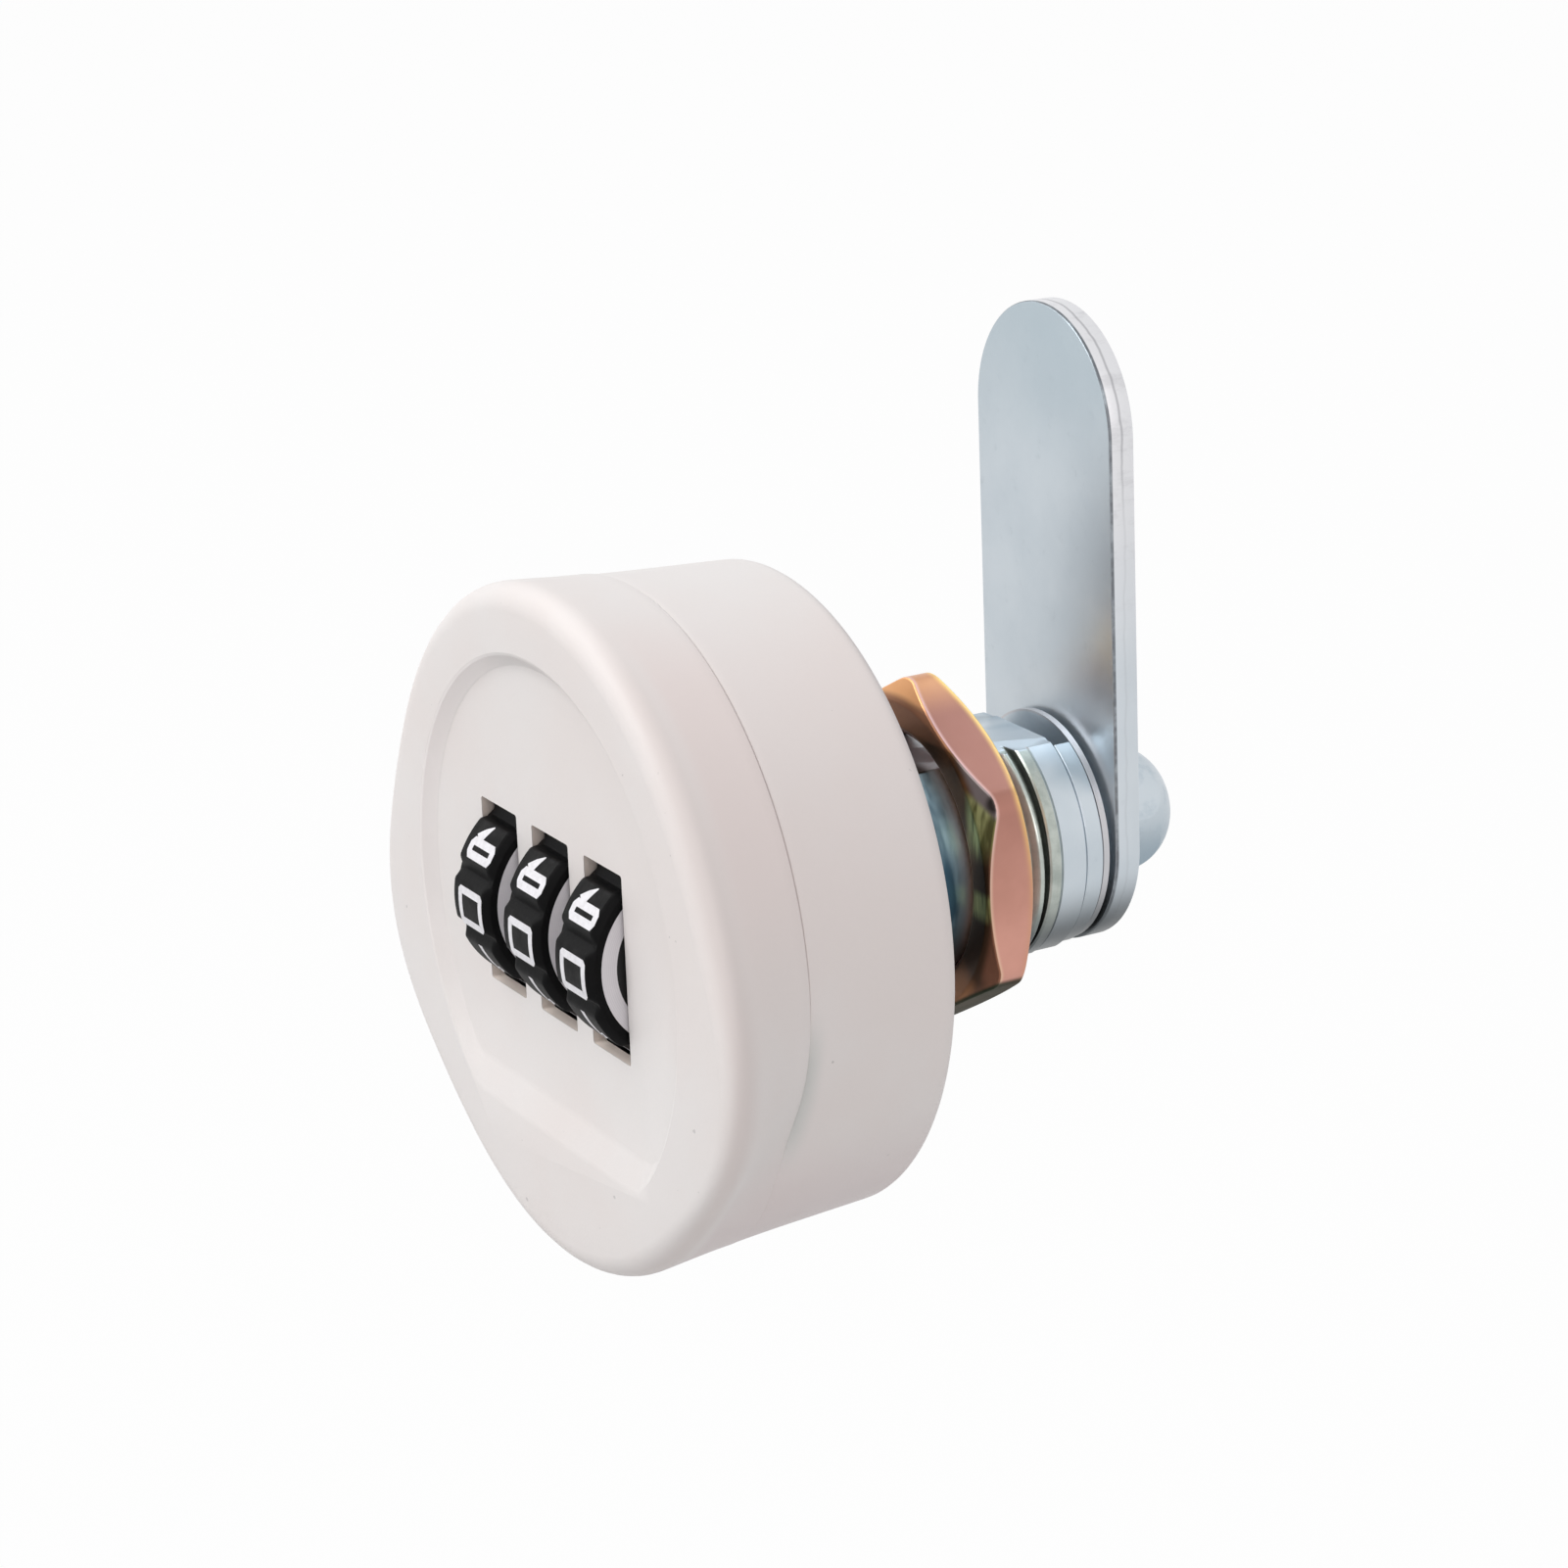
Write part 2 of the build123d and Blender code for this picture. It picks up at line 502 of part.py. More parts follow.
def spindle():
    """Shaft through the barrel: flange in the carrier, round journal, square end, tapped hole"""
    body = rod(SPINDLE_FLANGE_RADIUS, SPINDLE_FRONT_Y, DRUM_REAR_Y)
    body += rod(SPINDLE_RADIUS, DRUM_REAR_Y, STOP_WASHER_Y)
    half = SPINDLE_SQUARE / 2
    end = CAM_REAR_Y - SQUARE_SETBACK
    square = block(-half, half, STOP_WASHER_Y, end, -half, half)
    body += square & rod(SQUARE_CORNER_RADIUS, STOP_WASHER_Y, end)
    body -= rod(BOLT_RADIUS, CAM_REAR_Y - BOLT_DEPTH, end)
    for x, z in spindle_screw_places():
        body -= rod(SPINDLE_SCREW_RADIUS + FIT, SPINDLE_FRONT_Y, DRUM_REAR_Y, x, z)
        body -= rod(SPINDLE_SCREW_HEAD + FIT, SPINDLE_SCREW_SEAT, DRUM_REAR_Y, x, z)
    return body


def spindle_screw_places():
    """Places of the four screws that hold the spindle to the carrier frame"""
    return [polar(SPINDLE_SCREW_PLACE_RADIUS, a) for a in (45, 135, 225, 315)]


def square_hole(y0, y1):
    """Hole that fits the square end of the spindle"""
    half = SPINDLE_SQUARE / 2 + FIT
    return block(-half, half, y0, y1, -half, half)


def stop_washer():
    """Thin washer with a lug that runs in the gap of the stop ring"""
    y0, y1 = STOP_WASHER_Y, STOP_WASHER_Y + STOP_WASHER_THICKNESS
    body = rod(STOP_WASHER_RADIUS, y0, y1) - square_hole(y0, y1)
    end = STOP_GAP_START - STOP_PLAY - TURN_ANGLE
    inner, outer = STOP_RING_INNER_RADIUS + STOP_TAB_INSET, STOP_RING_RADIUS - STOP_TAB_INSET
    return body + ring_sector(inner, outer, LAND_END_Y + SIDE_CLEARANCE, y0, end - STOP_TAB_ANGLE, end)


def spacer_washer():
    """Plain washer between the stop washer and the cam"""
    return rod(SPACER_RADIUS, SPACER_Y, CAM_FRONT_Y) - square_hole(SPACER_Y, CAM_FRONT_Y)


def cam():
    """Flat steel arm with both ends fully round and a square hole"""
    radius = CAM_WIDTH / 2
    body = rod(radius, CAM_FRONT_Y, CAM_REAR_Y)
    top = CAM_REACH - radius
    body += rod(radius, CAM_FRONT_Y, CAM_REAR_Y, 0, top)
    body += block(-radius, radius, CAM_FRONT_Y, CAM_REAR_Y, 0, top)
    return body - square_hole(CAM_FRONT_Y, CAM_REAR_Y)


def lock_washer():
    """Split spring washer under the bolt head"""
    body = rod(LOCK_WASHER_RADIUS, CAM_REAR_Y, BOLT_SEAT_Y) - rod(BOLT_RADIUS + FIT, CAM_REAR_Y, BOLT_SEAT_Y)
    width = LOCK_WASHER_RADIUS - BOLT_RADIUS
    x, z = polar(BOLT_RADIUS + width / 2, LOCK_WASHER_SPLIT_ANGLE)
    cut = Box(LOCK_WASHER_SPLIT, 3 * LOCK_WASHER_THICKNESS, 1.5 * width)
    cut = Rot(0, LOCK_WASHER_SPLIT_ANGLE, 0) * Rot(0, 0, LOCK_WASHER_SPLIT_SLANT) * cut
    return body - Pos(x, (CAM_REAR_Y + BOLT_SEAT_Y) / 2, z) * cut


def cam_bolt():
    """Bolt that holds the cam on the spindle: hexagon head with a domed end and a socket"""
    band = (BOLT_HEAD_RADIUS, BOLT_HEAD_BAND_Y)
    end = (BOLT_HEAD_END_RADIUS, BOLT_HEAD_END_Y)
    base = Polyline([end, (0, BOLT_HEAD_END_Y), (0, BOLT_SEAT_Y), (BOLT_HEAD_RADIUS, BOLT_SEAT_Y), band])
    profile = make_face([*base.edges(), TangentArc(band, end, tangent=(0, 1))])
    hexagon = RegularPolygon(BOLT_HEAD_FLATS / 2, 6, major_radius=False)
    body = revolve(profile, Axis.Y) & extrude(at_y(BOLT_HEAD_END_Y) * hexagon, BOLT_HEAD_END_Y - BOLT_SEAT_Y)
    body += rod(BOLT_RADIUS, BOLT_TIP_Y, BOLT_SEAT_Y)
    socket = RegularPolygon(BOLT_SOCKET / 2, 6, major_radius=False)
    return body - extrude(at_y(BOLT_HEAD_END_Y) * socket, BOLT_SOCKET_DEPTH)


def mounting_nut():
    """Hexagon nut with softened corners and both faces chamfered, points up and down"""
    hexagon = RegularPolygon(NUT_FLATS / 2, 6, major_radius=False, rotation=30)
    hexagon = fillet(hexagon.vertices(), NUT_CORNER_RADIUS)
    rear = NUT_FRONT_Y + NUT_THICKNESS
    body = extrude(at_y(rear) * hexagon, NUT_THICKNESS)
    corner = NUT_FLATS / 2 / cos(pi / 6)
    face = NUT_FLATS / 2 - NUT_CHAMFER_OVERLAP
    front_half = [(0, NUT_FRONT_Y), (face, NUT_FRONT_Y), (corner, NUT_FRONT_Y + NUT_CHAMFER)]
    rear_half = [(corner, rear - NUT_CHAMFER), (face, rear), (0, rear)]
    body &= revolve(make_face(Polyline(front_half + rear_half, close=True)), Axis.Y)
    return body - rod(BARREL_RADIUS, NUT_FRONT_Y, rear)


def build():
    """Make every piece under its own name"""
    parts["base_ring"] = base_ring()
    parts["barrel"] = barrel()
    parts["flange_screws"] = flange_screws()
    parts["mounting_nut"] = mounting_nut()
    parts["front_cover"] = front_cover()
    parts["carrier_frame"] = carrier_frame()
    parts["carrier_screws"] = carrier_screws()
    parts["dial_axle"] = dial_axle()
    parts["detent_spring"] = detent_spring()
    for n, centre in enumerate(DIAL_CENTRES, 1):
        parts[f"dial_wheel_{n}"] = dial_wheel(centre)
        parts[f"code_sleeve_{n}"] = code_sleeve(centre)
        parts[f"code_disc_{n}"] = code_disc(centre)
    parts["locking_slider"] = locking_slider()
    parts["slider_spring"] = slider_spring()
    parts["spindle"] = spindle()
    parts["spindle_screws"] = spindle_screws()
    parts["stop_washer"] = stop_washer()
    parts["spacer_washer"] = spacer_washer()
    parts["cam"] = cam()
    parts["lock_washer"] = lock_washer()
    parts["cam_bolt"] = cam_bolt()


build()
os.makedirs("parts", exist_ok=True)
for name, shape in parts.items():
    export_step(shape, f"parts/{name}.step")
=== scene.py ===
import json
import math

import bmesh
import bpy
from mathutils import Matrix, Vector


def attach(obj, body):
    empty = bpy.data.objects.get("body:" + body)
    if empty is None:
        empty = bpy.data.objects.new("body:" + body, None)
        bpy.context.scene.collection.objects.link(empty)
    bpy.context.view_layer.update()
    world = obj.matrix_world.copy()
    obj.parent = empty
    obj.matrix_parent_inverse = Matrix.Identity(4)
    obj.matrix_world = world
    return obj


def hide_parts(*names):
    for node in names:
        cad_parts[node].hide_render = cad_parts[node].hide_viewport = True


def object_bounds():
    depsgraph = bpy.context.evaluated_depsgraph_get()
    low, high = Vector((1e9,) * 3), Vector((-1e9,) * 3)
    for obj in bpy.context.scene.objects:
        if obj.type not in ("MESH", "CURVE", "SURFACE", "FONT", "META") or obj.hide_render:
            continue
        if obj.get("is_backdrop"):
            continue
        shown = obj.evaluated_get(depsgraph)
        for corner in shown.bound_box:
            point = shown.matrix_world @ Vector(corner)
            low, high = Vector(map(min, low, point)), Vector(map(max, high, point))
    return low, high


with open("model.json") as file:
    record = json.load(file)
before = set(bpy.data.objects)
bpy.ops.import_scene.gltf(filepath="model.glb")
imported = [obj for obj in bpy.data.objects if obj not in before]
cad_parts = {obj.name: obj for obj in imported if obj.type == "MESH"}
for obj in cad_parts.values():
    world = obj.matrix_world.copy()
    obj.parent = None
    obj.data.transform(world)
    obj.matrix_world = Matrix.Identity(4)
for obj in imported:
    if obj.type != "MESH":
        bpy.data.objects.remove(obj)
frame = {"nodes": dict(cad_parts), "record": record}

CAD_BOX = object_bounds()

bl_info = {
    "name": "Cabinet dial lock",
    "version": (1, 0, 0),
    "blender": (4, 5, 0),
    "location": "View3D > Sidebar > Dial lock",
    "description": "Dresses the cabinet lock with its finished pieces, materials, light and camera",
    "category": "Object",
}

MM = 0.001
DIALS = (1, 2, 3)

# Sizes of the carried model that the finished pieces keep to, in millimetres
PARTING_Y = -12.3
RING_FRONT_Y = -12.18
FLOOR_Y = -19.3
FACE_Y = -20.3
COVER_RADIUS = 25.45
COVER_REAR_RADIUS = 24.75
RING_RADIUS = 24.6
FACE_RADIUS = 21.6
POCKET_RADIUS = 21.2
POCKET_Y = -17.7
ROUND_STEPS = 240
DIAL_Y = -14.65
DIAL_Z = 0.25
DIAL_PITCH = 8.21
PAD_RADIUS = 7.6
PAD_HALF_WIDTH = 2.2
PAD_HALF_LENGTH = 1.5
PAD_HEIGHT = 0.56
WHEEL_HALF_WIDTH = 2.65
BARREL_FRONT_Y = -2.8
BARREL_END_Y = 20.2
STOP_END_Y = 21.6
THREAD_CREST = 9.5
THREAD_FRONT_Y = 11.4
THREAD_END_Y = 16.2
LAND_Y = 17.75
FLAT_Z = 8.0
NUT_FRONT_Y = 9.63
NUT_REAR_Y = 13.65
NUT_HALF_FLATS = 12.0
NUT_CHAMFER_RADIUS = 11.75
NUT_CHAMFER_SLOPE = 0.539
CAM_FRONT_Y = 22.67
CAM_REAR_Y = 24.87
CAM_HALF_WIDTH = 9.0
CAM_REACH = 30.95

# The stop ring: where it starts and how far it goes, in degrees
STOP_FROM = 31
STOP_SPAN = 232

# Outline of the knob: middle and spread in degrees from the top, and height in millimetres
EARS = (103, 23, 2.9)
SCOOPS = (120, 17, 1.5)

# The camera of the photograph: focal length and width in pixels, place in metres, axes
FOCAL_PIXELS = 4668.9
PHOTO_PIXELS = 1601.0
SENSOR_MM = 36.0
CAMERA_PLACE = (0.27810, -0.15223, 0.10988)
CAMERA_RIGHT = (0.490468, 0.870584, -0.039048)
CAMERA_BACK = (0.834831, -0.456526, 0.307639)

# Square lamps: name, place and width in metres, power in watts, colour
LAMPS = (
    ("key_softbox", (-0.14, -0.68, 0.69), 0.60, 5.3, (1.0, 0.995, 0.99)),
    ("side_softbox", (0.85, -0.10, 0.35), 0.50, 2.1, (1.0, 0.92, 0.90)),
    ("left_softbox", (-0.62, -0.24, 0.74), 0.60, 1.6, (1.0, 0.99, 1.0)),
)


# Shader maths written as Python expressions

class Value:
    """A node socket that takes part in Python arithmetic by adding Math nodes."""

    def __init__(self, finish, socket):
        self.finish = finish
        self.socket = socket

    def _math(self, operation, a, b=None, clamp=False):
        inputs = {0: a} if b is None else {0: a, 1: b}
        return self.finish.node("ShaderNodeMath", {"operation": operation, "use_clamp": clamp}, inputs)

    def __add__(self, other):
        return self._math("ADD", self, other)

    __radd__ = __add__

    def __sub__(self, other):
        return self._math("SUBTRACT", self, other)

    def __rsub__(self, other):
        return self._math("SUBTRACT", other, self)

    def __mul__(self, other):
        return self._math("MULTIPLY", self, other)

    __rmul__ = __mul__

    def __pow__(self, other):
        return self._math("POWER", self, other)

    def __abs__(self):
        return self._math("ABSOLUTE", self)

    def sin(self):
        return self._math("SINE", self)

    def root(self):
        return self._math("SQRT", self)

    def clamped(self):
        return self._math("ADD", self, 0.0, clamp=True)

    def at_least(self, low):
        return self._math("MAXIMUM", self, low)

    def across(self, other):
        """Length of the hypotenuse over this value and the other."""
        return (self * self + other * other).root()

    def smooth(self, low, high):
        """0 below low, 1 above high, with a soft step between."""
        return self.finish.node(
            "ShaderNodeMapRange",
            {"interpolation_type": "SMOOTHSTEP"},
            {"Value": self, "From Min": low, "From Max": high, "To Min": 0.0, "To Max": 1.0},
            output="Result",
        )


class Finish:
    """One material's node tree around a Principled shader."""

    def __init__(self, name="finish"):
        self.material = bpy.data.materials.new(name)
        self.material.use_nodes = True
        self.tree = self.material.node_tree
        self.shader = self.tree.nodes["Principled BSDF"]
        coordinates = self.tree.nodes.new("ShaderNodeTexCoord")
        self.place = Value(self, coordinates.outputs["Object"])

    def feed(self, socket, value):
        if isinstance(value, Value):
            self.tree.links.new(value.socket, socket)
        elif isinstance(value, (tuple, list)) and len(value) == 3 and len(socket.default_value) == 4:
            socket.default_value = (*value, 1.0)
        else:
            socket.default_value = value

    def node(self, kind, settings=None, inputs=None, output=0):
        """Adds any node: its settings first, then the values or links of its sockets."""
        made = self.tree.nodes.new(kind)
        for key, value in (settings or {}).items():
            setattr(made, key, value)
        for key, value in (inputs or {}).items():
            self.feed(made.inputs[key], value)
        return Value(self, made.outputs[output])

    def axes(self):
        """X, Y and Z of the surface point, in millimetres."""
        scaled = self.node("ShaderNodeVectorMath", {"operation": "SCALE"}, {0: self.place, "Scale": 1000.0})
        return [self.node("ShaderNodeSeparateXYZ", None, {0: scaled}, output=n) for n in range(3)]

    def noise(self, scale, detail=3.0, roughness=0.5, stretch=(1, 1, 1), seed=0.0):
        """Noise from 0 to 1 over the object; scale is in cells per metre."""
        where = self.node(
            "ShaderNodeMapping",
            {"vector_type": "POINT"},
            {"Vector": self.place, "Location": (seed, seed * 0.7, seed * 1.3), "Scale": stretch},
        )
        inputs = {"Vector": where, "Scale": scale, "Detail": detail, "Roughness": roughness}
        return self.node("ShaderNodeTexNoise", None, inputs)

    def blend(self, factor, first, second):
        """Mixes two colours."""
        mixer = self.tree.nodes.new("ShaderNodeMix")
        mixer.data_type = "RGBA"
        self.feed(mixer.inputs["Factor"], factor)
        colours = [s for s in mixer.inputs if s.type == "RGBA"]
        self.feed(colours[0], first)
        self.feed(colours[1], second)
        return Value(self, [s for s in mixer.outputs if s.type == "RGBA"][0])

    def bump(self, height, strength, distance):
        return self.node("ShaderNodeBump", None, {"Height": height, "Strength": strength, "Distance": distance})

    def surface(self, **inputs):
        for key, value in inputs.items():
            self.feed(self.shader.inputs[key.replace("_", " ").title().replace("Ior", "IOR")], value)
        return self.material


def srgb(r, g, b):
    """A colour given as it looks on screen, 0 to 255, as the linear values that shaders take."""
    def one(c):
        c = c / 255.0
        return c / 12.92 if c <= 0.04045 else ((c + 0.055) / 1.055) ** 2.4
    return one(r), one(g), one(b)


def toned(colour, *factors):
    """A colour times one factor, or times a factor for each of red, green and blue."""
    return tuple(c * k for c, k in zip(colour, factors * 3 if len(factors) == 1 else factors))


# Finishes

def satin_shell(tint):
    """Moulded plastic of the knob: warm white, softly mottled, with a fine grain and a few dust specks, and
    painted shade and light on its rim, flanks and window sides.
    """
    f = Finish()
    cloud = f.noise(60.0, 3.0, 0.55)
    grain = f.noise(3800.0, 2.0, 0.6)
    speck = f.noise(1500.0, 0.0, 0.3, seed=3.1).smooth(0.885, 0.905)
    colour = f.blend(cloud.smooth(0.3, 0.7), tint, toned(tint, 0.985, 0.955, 0.945))
    colour = f.blend(0.10 * grain, colour, toned(tint, 0.80))
    colour = f.blend(speck * 0.45, colour, toned(tint, 0.45))
    x, y, z = f.axes()
    radius = x.across(z)
    right = (x - 5.0).smooth(0.0, 10.0)

    # Painted shade: the rounded front edge and the flanks are rosier on the right, and darker low down
    rim_shade = (y - FACE_Y).smooth(-0.1, 1.0) * (-17.0 - y).smooth(0.0, 2.0) * radius.smooth(20.4, 21.5)
    colour = f.blend(rim_shade * right, colour, toned(tint, 0.91, 0.87, 0.86))
    flank_shade = (y + 18.5).smooth(0.0, 2.0) * right
    upper = flank_shade * z.smooth(0.0, 12.0) * (0.45 + 0.55 * (RING_FRONT_Y - y).smooth(0.0, 0.1))
    colour = f.blend(upper, colour, toned(tint, 0.975, 0.915, 0.905))
    colour = f.blend(flank_shade * (-9.0 - z).smooth(0.0, 10.0), colour, toned(tint, 0.90, 0.845, 0.85))

    # Painted light: the wall of the dished face is paler on the left, and the sides of the windows are warmer
    # and paler
    groove_light = radius.smooth(19.2, 19.5) * (20.5 - radius).smooth(0.0, 0.2) * (-18.9 - y).smooth(0.0, 0.2)
    groove_light = groove_light * (-4.0 - x).smooth(0.0, 6.0) * (z + 9.0).smooth(0.0, 5.0)
    colour = f.blend(groove_light * (0.45 + 0.35 * z.smooth(0.0, 10.0)), colour, (0.93, 0.88, 0.865))
    window_wall_light = (y + 19.28).smooth(0.0, 0.08) * (-13.9 - y).smooth(0.0, 0.1)
    window_wall_light = window_wall_light * (11.9 - abs(x)).smooth(0.0, 0.1) * (7.7 - abs(z)).smooth(0.0, 0.1)
    colour = f.blend(window_wall_light, colour, (0.97, 0.86, 0.78))

    # Shade in the dip behind the parting line, at the lower right
    past = y - RING_FRONT_Y
    dip = (past + 0.02).smooth(0.0, 0.04) * (1.5 - past).smooth(0.0, 1.3) * (x - 14.0).smooth(0.0, 3.0)
    dip = dip * (z + 14.5).smooth(0.0, 5.0) * (0.5 - z).smooth(0.0, 5.0)
    colour = f.blend(dip, colour, toned(tint, 0.82, 0.86, 0.85))
    rough = 0.42 + 0.08 * f.noise(400.0, 4.0, 0.6, seed=1.7) + 0.06 * grain
    normal = f.bump(grain + 0.6 * cloud, 0.14, 0.00005)
    return f.surface(base_color=colour, roughness=rough, normal=normal, specular_ior_level=0.40)


def wheel_black():
    """Black plastic of the dials, a little greyer where fingers rub the pads."""
    f = Finish()
    grain = f.noise(4200.0, 3.0, 0.6)
    _, y, z = f.axes()
    rubbed = f.noise(700.0, 3.0, 0.6, seed=2.0).smooth(0.30, 0.75)
    worn = (y - DIAL_Y).across(z - DIAL_Z).smooth(PAD_RADIUS - 0.2, PAD_RADIUS) * rubbed
    colour = f.blend(worn * 0.8, (0.0015, 0.0015, 0.0018), (0.017, 0.0168, 0.017))
    return f.surface(
        base_color=colour,
        roughness=0.46 + 0.16 * grain,
        normal=f.bump(grain, 0.14, 0.00004),
        specular_ior_level=0.10,
    )


def numeral_white():
    """Printed paint of the numerals: off-white, slightly uneven."""
    f = Finish()
    wear = f.noise(2400.0, 4.0, 0.65)
    colour = f.blend(wear.smooth(0.35, 0.8), (0.80, 0.79, 0.82), (0.68, 0.67, 0.69))
    return f.surface(base_color=colour, roughness=0.45 + 0.2 * wear, normal=f.bump(wear, 0.15, 0.00002))


def sleeve_grey():
    """Pale grey sleeve beside the numerals, with faint turning rings."""
    f = Finish()
    _, y, z = f.axes()
    rings = ((y - DIAL_Y).across(z - DIAL_Z) * 42.0).sin() * 0.5 + 0.5
    cloud = f.noise(600.0, 3.0, 0.5)
    colour = f.blend(0.5 * rings + 0.5 * cloud, (0.72, 0.70, 0.73), (0.61, 0.595, 0.62))
    return f.surface(base_color=colour, roughness=0.38 + 0.12 * cloud, normal=f.bump(rings, 0.08, 0.00002))


def plain_finish(grain, first, second, rough, relief, depth, metallic=0.0):
    """A softly mottled finish for the inner pieces: dark plastic or spring steel."""
    f = Finish()
    cloud = f.noise(*grain)
    return f.surface(
        base_color=f.blend(cloud, first, second), metallic=metallic,
        roughness=rough[0] + rough[1] * cloud, normal=f.bump(cloud, relief, depth),
    )


def plated_zinc(bright, shade, rough, streak, cloudiness, zones):
    """Blue-white zinc plating: soft clouds, small stains and the marks of its making."""
    f = Finish()
    cloud = f.noise(110.0, 4.0, 0.55, seed=0.4)
    stain = f.noise(620.0, 5.0, 0.65, seed=4.2)
    lines = f.noise(1900.0, 2.0, 0.5, stretch=streak, seed=1.1)
    colour = f.blend(cloud.smooth(0.25, 0.75) * cloudiness, bright, shade)
    colour = f.blend(stain.smooth(0.58, 0.85) * 0.35, colour, toned(shade, 0.74))
    return f.surface(
        base_color=zones(f, colour, stain),
        metallic=0.92,
        roughness=rough + 0.10 * stain + 0.08 * lines,
        normal=f.bump(lines + 0.6 * stain, 0.12, 0.00004),
    )


def barrel_zones(f, colour, stain):
    """Brushed drum before the nut, painted deep blue as shade, and olive-grey thread behind it, with painted
    shade and reflections.
    """
    x, y, z = f.axes()
    brush = f.noise(230.0, 3.0, 0.5, stretch=(1.0, 1.8, 0.30), seed=6.0)
    # Painted shade: the drum between knob and nut is deep blue with lighter brushed streaks, darker low down,
    # and nearly black on its top flat
    drum = f.blend(brush.smooth(0.40, 0.60), (0.036, 0.080, 0.115), (0.30, 0.43, 0.50))
    drum = f.blend((2.0 - z).smooth(0.0, 9.0) * 0.60, drum, (0.045, 0.095, 0.135))
    drum = f.blend((z - 7.85).smooth(0.0, 0.1), drum, (0.022, 0.018, 0.013))
    colour = f.blend((9.2 - y).smooth(-0.6, 0.6), colour, drum)
    thread = (y - 9.6).smooth(-0.3, 0.3) * (LAND_Y - y).smooth(-0.1, 0.1)
    olive = f.blend(stain.smooth(0.35, 0.7), (0.50, 0.54, 0.50), (0.36, 0.40, 0.37))
    # Painted shade, darker towards the roots of the thread
    root_shade = (9.35 - x.across(z)).smooth(0.1, 0.6)
    olive = f.blend(root_shade * 0.6, olive, (0.06, 0.07, 0.065))
    side = (FLAT_Z + 0.02 - abs(z)).smooth(0.03, 0.12)
    colour = f.blend(thread * side, colour, olive)
    # Painted reflection: darker blue patches behind the land
    patch = f.noise(190.0, 2.0, 0.5, stretch=(1.0, 0.35, 1.0), seed=12.0).smooth(0.50, 0.64)
    behind = (y - LAND_Y).smooth(0.0, 0.1)
    colour = f.blend(patch * behind * 0.55, colour, (0.30, 0.40, 0.47))
    return paint_underside_shade(f, z, colour)


def paint_underside_shade(f, z, colour):
    """Paints shade on what faces the floor."""
    return f.blend((-1.4 - z).smooth(0.0, 5.2) * 0.94, colour, (0.060, 0.070, 0.076))


def washer_zones(f, colour, stain):
    """Painted reflection of the nut beside them, warming the rims of the washers; painted shade low down."""
    x, _, z = f.axes()
    rim = x.across(z).smooth(8.6, 8.75)
    # Painted reflection: warm tint on the washer rims
    return paint_underside_shade(f, z, f.blend(rim * 0.40, colour, (0.55, 0.46, 0.44)))


def bolt_zones(f, colour, stain):
    """Small stains, and a painted shade of deeper blue low on the bolt head."""
    z = f.axes()[2]
    colour = f.blend(stain.smooth(0.48, 0.66) * 0.35, colour, (0.34, 0.43, 0.50))
    # Painted shade: deeper blue low down on the bolt head
    return f.blend((2.0 - z).smooth(0.0, 5.5) * 0.85, colour, (0.26, 0.34, 0.40))


def cam_zones(f, colour, stain):
    """Painted shade as a dark line on the front bevel of the edge, the torn rest of the cam's edge, and a bluer
    top.
    """
    _, y, z = f.axes()
    depth = y - CAM_FRONT_Y
    tip = z - 24.0
    high = (z - 8.0).smooth(0.0, 22.0)
    side = depth.smooth(0.16, 0.30)
    colour = f.blend(side * (0.15 + 0.80 * high), colour, (0.74, 0.74, 0.76))
    # Painted shade: a dark line along the front bevel of the stamped edge
    line = depth.smooth(0.01, 0.05) * (0.30 - depth).smooth(0.0, 0.08)
    wave = f.noise(160.0, 3.0, 0.6, stretch=(1.0, 0.2, 1.0), seed=7.0)
    torn = 1.0 - abs(depth - 0.55 - wave).smooth(0.02, 0.16)
    rough = f.noise(700.0, 4.0, 0.7, stretch=(1.0, 0.35, 1.0), seed=3.0)
    colour = f.blend(side * high * rough.smooth(0.48, 0.70) * 0.30, colour, (0.42, 0.42, 0.44))
    colour = f.blend(torn * side * (0.14 + 0.46 * tip.smooth(0.0, 9.0)), colour, (0.30, 0.30, 0.32))
    colour = f.blend(tip.smooth(0.0, 16.0) * (1.0 - side) * 0.5, colour, (0.40, 0.49, 0.54))
    colour = f.blend(line * (0.45 + 0.35 * stain.smooth(0.3, 0.6)), colour, (0.07, 0.07, 0.08))
    return paint_underside_shade(f, z, colour)


